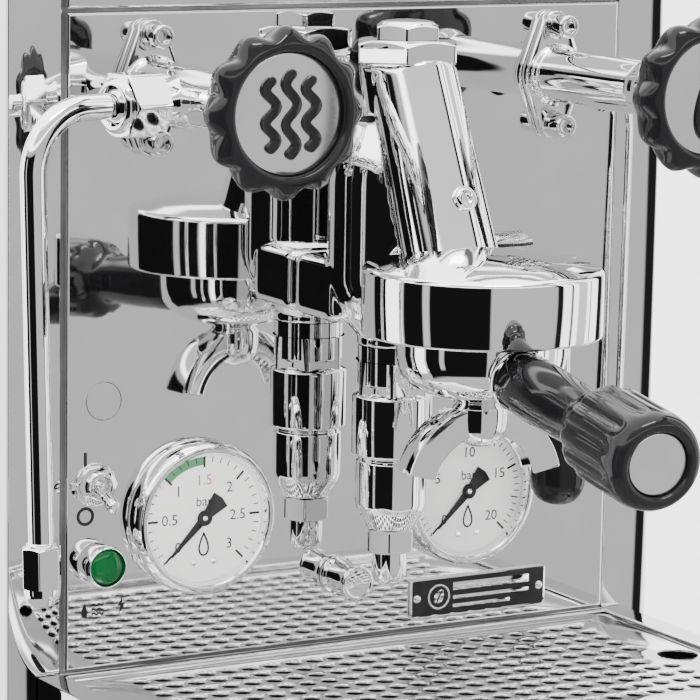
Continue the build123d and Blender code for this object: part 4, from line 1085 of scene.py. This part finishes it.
def make_tray():
    low, high = node_box("drip_tray")
    grille_low, grille_high = node_box("drip_grille")
    tray = bmesh.new()
    bmesh.ops.create_cube(tray, size=1.0)
    bmesh.ops.scale(tray, vec=high - low, verts=tray.verts)
    bmesh.ops.translate(tray, vec=(low + high) / 2, verts=tray.verts)
    corners = [
        edge for edge in tray.edges
        if abs(edge.verts[0].co.z - edge.verts[1].co.z) > 1 and edge.verts[0].co.y < min(0, low.y + 1)
    ]
    soften(tray, corners, 6.0, 6)
    top = max(tray.faces, key=lambda face: face.calc_center_median().z * (face.normal.z > 0.9))
    rim, back_rim, shelf_drop, shelf_width, floor_thickness = 12.0, 4.0, 12.0, 4.0, 2.5
    grille_gap = 0.5
    back = high.y - back_rim
    bmesh.ops.inset_region(tray, faces=[top], thickness=rim, depth=0.0)
    for vert in top.verts:
        if vert.co.y > high.y - rim - 1:
            vert.co.y = back
        vert.co.x = max(min(vert.co.x, grille_high.x + grille_gap), grille_low.x - grille_gap)
        vert.co.y = min(max(vert.co.y, grille_low.y - grille_gap), back)
    shelf = bmesh.ops.extrude_face_region(tray, geom=[top])["geom"]
    bmesh.ops.delete(tray, geom=[top], context="FACES_ONLY")
    bmesh.ops.translate(tray, vec=(0, 0, -shelf_drop), verts=points_of(shelf))
    floor = [item for item in shelf if isinstance(item, bmesh.types.BMFace)][0]
    bmesh.ops.inset_region(tray, faces=[floor], thickness=shelf_width, depth=0.0)
    basin = bmesh.ops.extrude_face_region(tray, geom=[floor])["geom"]
    bmesh.ops.delete(tray, geom=[floor], context="FACES_ONLY")
    basin_drop = high.z - low.z - (shelf_drop + floor_thickness)
    bmesh.ops.translate(tray, vec=(0, 0, -basin_drop), verts=points_of(basin))
    closed(tray)
    # Faces of the basin under the grille take the darkened basin finish, which is painted shade for the
    # recess.
    for face in tray.faces:
        centre = face.calc_center_median()
        inside = grille_low.x < centre.x < grille_high.x and grille_low.y < centre.y < grille_high.y
        face.material_index = int(inside and low.z + 0.5 < centre.z < grille_low.z + 0.2)
    rims = [
        edge for edge in sharp_edges(tray, 1.0)
        if min(vert.co.z for vert in edge.verts) > high.z - 0.5
    ]
    soften(tray, rims, 1.0, 4)
    skin = finish_piece("drip_tray_skin", tray, "tray", "mirror_steel", ["drip_tray"])
    skin.data.materials.append(FINISH["basin_steel_painted_shade"])


def make_grille():
    """Plate with its rows of holes, each with a rounded bright edge, and turned-down sides."""
    low, high = node_box("drip_grille")
    top = high.z
    shape = bmesh.new()
    inset = 1.2
    outline = [
        (low.x + inset, low.y + inset), (high.x - inset, low.y + inset), (high.x - inset, high.y - inset),
        (low.x + inset, high.y - inset),
    ]
    corner_verts = [shape.verts.new((x, y, top)) for x, y in outline]
    border = [shape.edges.new((corner_verts[number], corner_verts[(number + 1) % 4])) for number in range(4)]
    holes = [
        ((column - 10.5) * HOLE_PITCH_X, PANEL_LOW.y - 17.5 - row * HOLE_PITCH_Y, HOLE_RADIUS, 20)
        for column in range(22) for row in range(11) if not (column in (0, 21) and row in (5, 6))
    ]
    holes += [(side * 118, PANEL_LOW.y - 76, FINGER_RADIUS, 40) for side in (-1, 1)]
    for x, y, radius, steps in holes:
        made = bmesh.ops.create_circle(
            shape, segments=steps, radius=radius, matrix=Matrix.Translation((x, y, top)),
        )["verts"]
        border += list({edge for vert in made for edge in vert.link_edges})
    bmesh.ops.triangle_fill(shape, edges=border, use_beauty=True, normal=(0, 0, 1))
    bmesh.ops.recalc_face_normals(shape, faces=shape.faces)
    if sum(face.normal.z for face in shape.faces) < 0:
        bmesh.ops.reverse_faces(shape, faces=shape.faces)
    thick, near = 1.5, 0.01
    rims = [edge for edge in shape.edges if len(edge.link_faces) == 1]
    walls = bmesh.ops.extrude_edge_only(shape, edges=rims)["geom"]
    for vert in points_of(walls):
        at_side = abs(vert.co.x) > high.x - inset - near
        at_back, at_front = vert.co.y > high.y - inset - near, vert.co.y < low.y + inset + near
        vert.co.z -= 0 if at_side or at_back or at_front else thick
    skirt_edges = [
        item for item in walls if isinstance(item, bmesh.types.BMEdge)
        and all(abs(vert.co.z - top) < 1e-6 for vert in item.verts) and len(item.link_faces) == 1
    ]
    for drop, out in ((0.35, 0.7), (1.2, 1.2), (high.z - low.z, 1.2)):
        verts, skirt_edges = grown(shape, skirt_edges)
        for vert in verts:
            vert.co.z = top - drop
            vert.co.x = (high.x - inset + out) * (1 if vert.co.x > 0 else -1)
            vert.co.y = (high.y - inset + out) if vert.co.y > (low.y + high.y) / 2 else (low.y + inset - out)
    bmesh.ops.remove_doubles(shape, verts=shape.verts, dist=1e-4)
    bevels = [
        edge for edge in sharp_edges(shape)
        if all(abs(vert.co.z - top) < 1e-4 for vert in edge.verts)
    ]
    soften(shape, bevels, 0.45)
    finish_piece(
        "drip_grille_skin", shape, "grille", "mirror_steel", ["drip_grille"],
        material=FINISH["grille_steel"], crease=50,
    )


# ---- camera ----
CAMERA_YAW, CAMERA_PITCH, CAMERA_ROLL = 29.97, 9.40, 0.974
CAMERA_LENS, CAMERA_SENSOR = 178.0, 36.0
CAMERA_PLACE = (-711.99, 1234.81, 359.27)


def make_camera():
    data = bpy.data.cameras.new("camera")
    data.lens = CAMERA_LENS
    data.sensor_width = CAMERA_SENSOR
    camera = bpy.data.objects.new("camera", data)
    bpy.context.scene.collection.objects.link(camera)
    place = Matrix.Translation(spot(*CAMERA_PLACE) * MM)
    turn = Matrix.Rotation(-radians(CAMERA_YAW), 4, "Z")
    tilt = Matrix.Rotation(radians(90 - CAMERA_PITCH), 4, "X")
    roll = Matrix.Rotation(radians(CAMERA_ROLL), 4, "Z")
    camera.matrix_world = place @ turn @ tilt @ roll
    bpy.context.scene.camera = camera


# ---- studio ----
def make_floor():
    shape = bmesh.new()
    bmesh.ops.create_grid(shape, x_segments=1, y_segments=1, size=14.0)
    mesh = bpy.data.meshes.new("floor")
    shape.to_mesh(mesh)
    shape.free()
    floor = bpy.data.objects.new("floor", mesh)
    bpy.context.scene.collection.objects.link(floor)
    paint = moulded("floor_paint", (0.93, 0.93, 0.93), (0.90, 0.90, 0.90), (0.6, 0.7), 40.0, 0.02)
    floor.data.materials.append(paint)
    floor.visible_glossy = False


STUDIO_BASE, BACKDROP_SEEN = 0.75, 6.0
# brightness, azimuth (low, high) and elevation (low, high) in degrees; azimuth 0 is the front,
# and it grows towards the right
STUDIO_CARDS = (
    (3.0, (120, 240), (-30, 90)),
    (5.0, (-180, 180), (24, 95)),
    (1.1, (-70, 60), (30, 52)),
    (0.05, (-70, 60), (54, 57)),
    (0.25, (20, 100), (52, 60)),
    (55.0, (-30, 30), (62, 66)),
    (55.0, (-130, -124), (10, 50)),
    (40.0, (52, 55), (2, 40)),
    (0.010, (-112, -24), (-38, 17)),
    (4.0, (-139, -114), (-30, 60)),
    (0.9, (-90, -83), (-25, 14)),
    (0.02, (43, 50), (-40, 40)),
    (3.5, (50, 106), (-26, 42)),
    (0.10, (60, 63), (-26, 50)),
    (1.2, (70, 84), (-26, 50)),
    (0.15, (90, 92), (-26, 50)),
    (0.02, (107, 118), (-30, 50)),
)


def make_world():
    """White studio with dark gaps, drawn by direction; the camera itself sees plain white."""
    world = bpy.data.worlds.new("studio")
    bpy.context.scene.world = world
    world.use_nodes = True
    tree = world.node_tree
    backdrop = tree.nodes["Background"]
    place = tree.nodes.new("ShaderNodeTexCoord")
    parts = tree.nodes.new("ShaderNodeSeparateXYZ")
    tree.links.new(place.outputs["Generated"], parts.inputs[0])
    toward = math_node(tree, "MULTIPLY", parts.outputs["Y"], -1.0)
    azimuth = math_node(tree, "ARCTAN2", parts.outputs["X"], toward)
    azimuth = math_node(tree, "MULTIPLY", azimuth, 180 / pi)
    height = tree.nodes.new("ShaderNodeMath")
    height.operation = "ARCSINE"
    tree.links.new(parts.outputs["Z"], height.inputs[0])
    elevation = math_node(tree, "MULTIPLY", height.outputs[0], 180 / pi)

    def within(value, low, high, soft):
        rise = remapped(tree, value, low - soft, low + soft, 0.0, 1.0)
        fall = remapped(tree, value, high - soft, high + soft, 1.0, 0.0)
        return math_node(tree, "MULTIPLY", rise, fall)

    light = math_node(tree, "ADD", 0.0, STUDIO_BASE)
    for brightness, (left, right), (low, high) in STUDIO_CARDS:
        across = within(azimuth, left, right, 1.2)
        if right > 180:
            wrapped = within(azimuth, left - 360, right - 360, 1.2)
            across = math_node(tree, "MAXIMUM", across, wrapped)
        if left <= -180:
            across = math_node(tree, "ADD", 1.0, 0.0)
        mask = math_node(tree, "MULTIPLY", across, within(elevation, low, high, 2.0))
        kept = math_node(tree, "MULTIPLY", light, math_node(tree, "SUBTRACT", 1.0, mask))
        light = math_node(tree, "ADD", kept, math_node(tree, "MULTIPLY", mask, brightness))
    rays = tree.nodes.new("ShaderNodeLightPath")
    seen = rays.outputs["Is Camera Ray"]
    hidden = math_node(tree, "SUBTRACT", 1.0, seen)
    reflected = math_node(tree, "MULTIPLY", light, hidden)
    strength = math_node(tree, "ADD", reflected, math_node(tree, "MULTIPLY", seen, BACKDROP_SEEN))
    backdrop.inputs["Color"].default_value = (1.0, 1.0, 1.0, 1)
    tree.links.new(strength, backdrop.inputs["Strength"])


def make_fill_light():
    """Broad soft light from the front that lifts the dials and paint but shows in no reflection."""
    data = bpy.data.lights.new("fill", "AREA")
    data.shape = "RECTANGLE"
    data.size, data.size_y = 1.2, 0.9
    data.energy = 26.0
    light = bpy.data.objects.new("fill", data)
    bpy.context.scene.collection.objects.link(light)
    place = Vector((-0.5, -1.5, 1.0))
    target = Vector((0.0, 0.0, 0.2))
    aim = (place - target).to_track_quat("Z", "Y").to_matrix().to_4x4()
    light.matrix_world = Matrix.Translation(place) @ aim
    light.visible_glossy = False
    light.visible_camera = False


# ---- put together ----
def finish_cad_nodes():
    """The remaining CAD nodes keep their meshes and take the finish of their slot."""
    for subpart in frame["record"]["subparts"]:
        node = nodes[subpart["node"]]
        for holder in node.material_slots:
            holder.material = FINISH[subpart["material_slot"]]


finish_cad_nodes()
make_group()
make_cap()
make_chamber()
make_lever()
make_gland()
make_bowl()
make_spout()
make_handle()
for side, name in ((-1, "steam"), (1, "water")):
    foot, way = make_valve(side, name)
    make_knob(side, name)
    make_wand(name, foot, way)
make_gauge("boiler_gauge", GAUGE_LEFT_X, ("0", "0.5", "1", "1.5", "2", "2.5", "3"), ("1.5",), (-45, 0), 5)
make_gauge("pump_gauge", GAUGE_RIGHT_X, ("0", "5", "10", "15", "20"), (), (-27, 0), 10)
make_switch()
make_pilot()
make_panel_marks()
make_badge()
make_adjuster()
make_front_frame()
make_tray()
make_grille()
make_camera()
make_floor()
make_world()
make_fill_light()
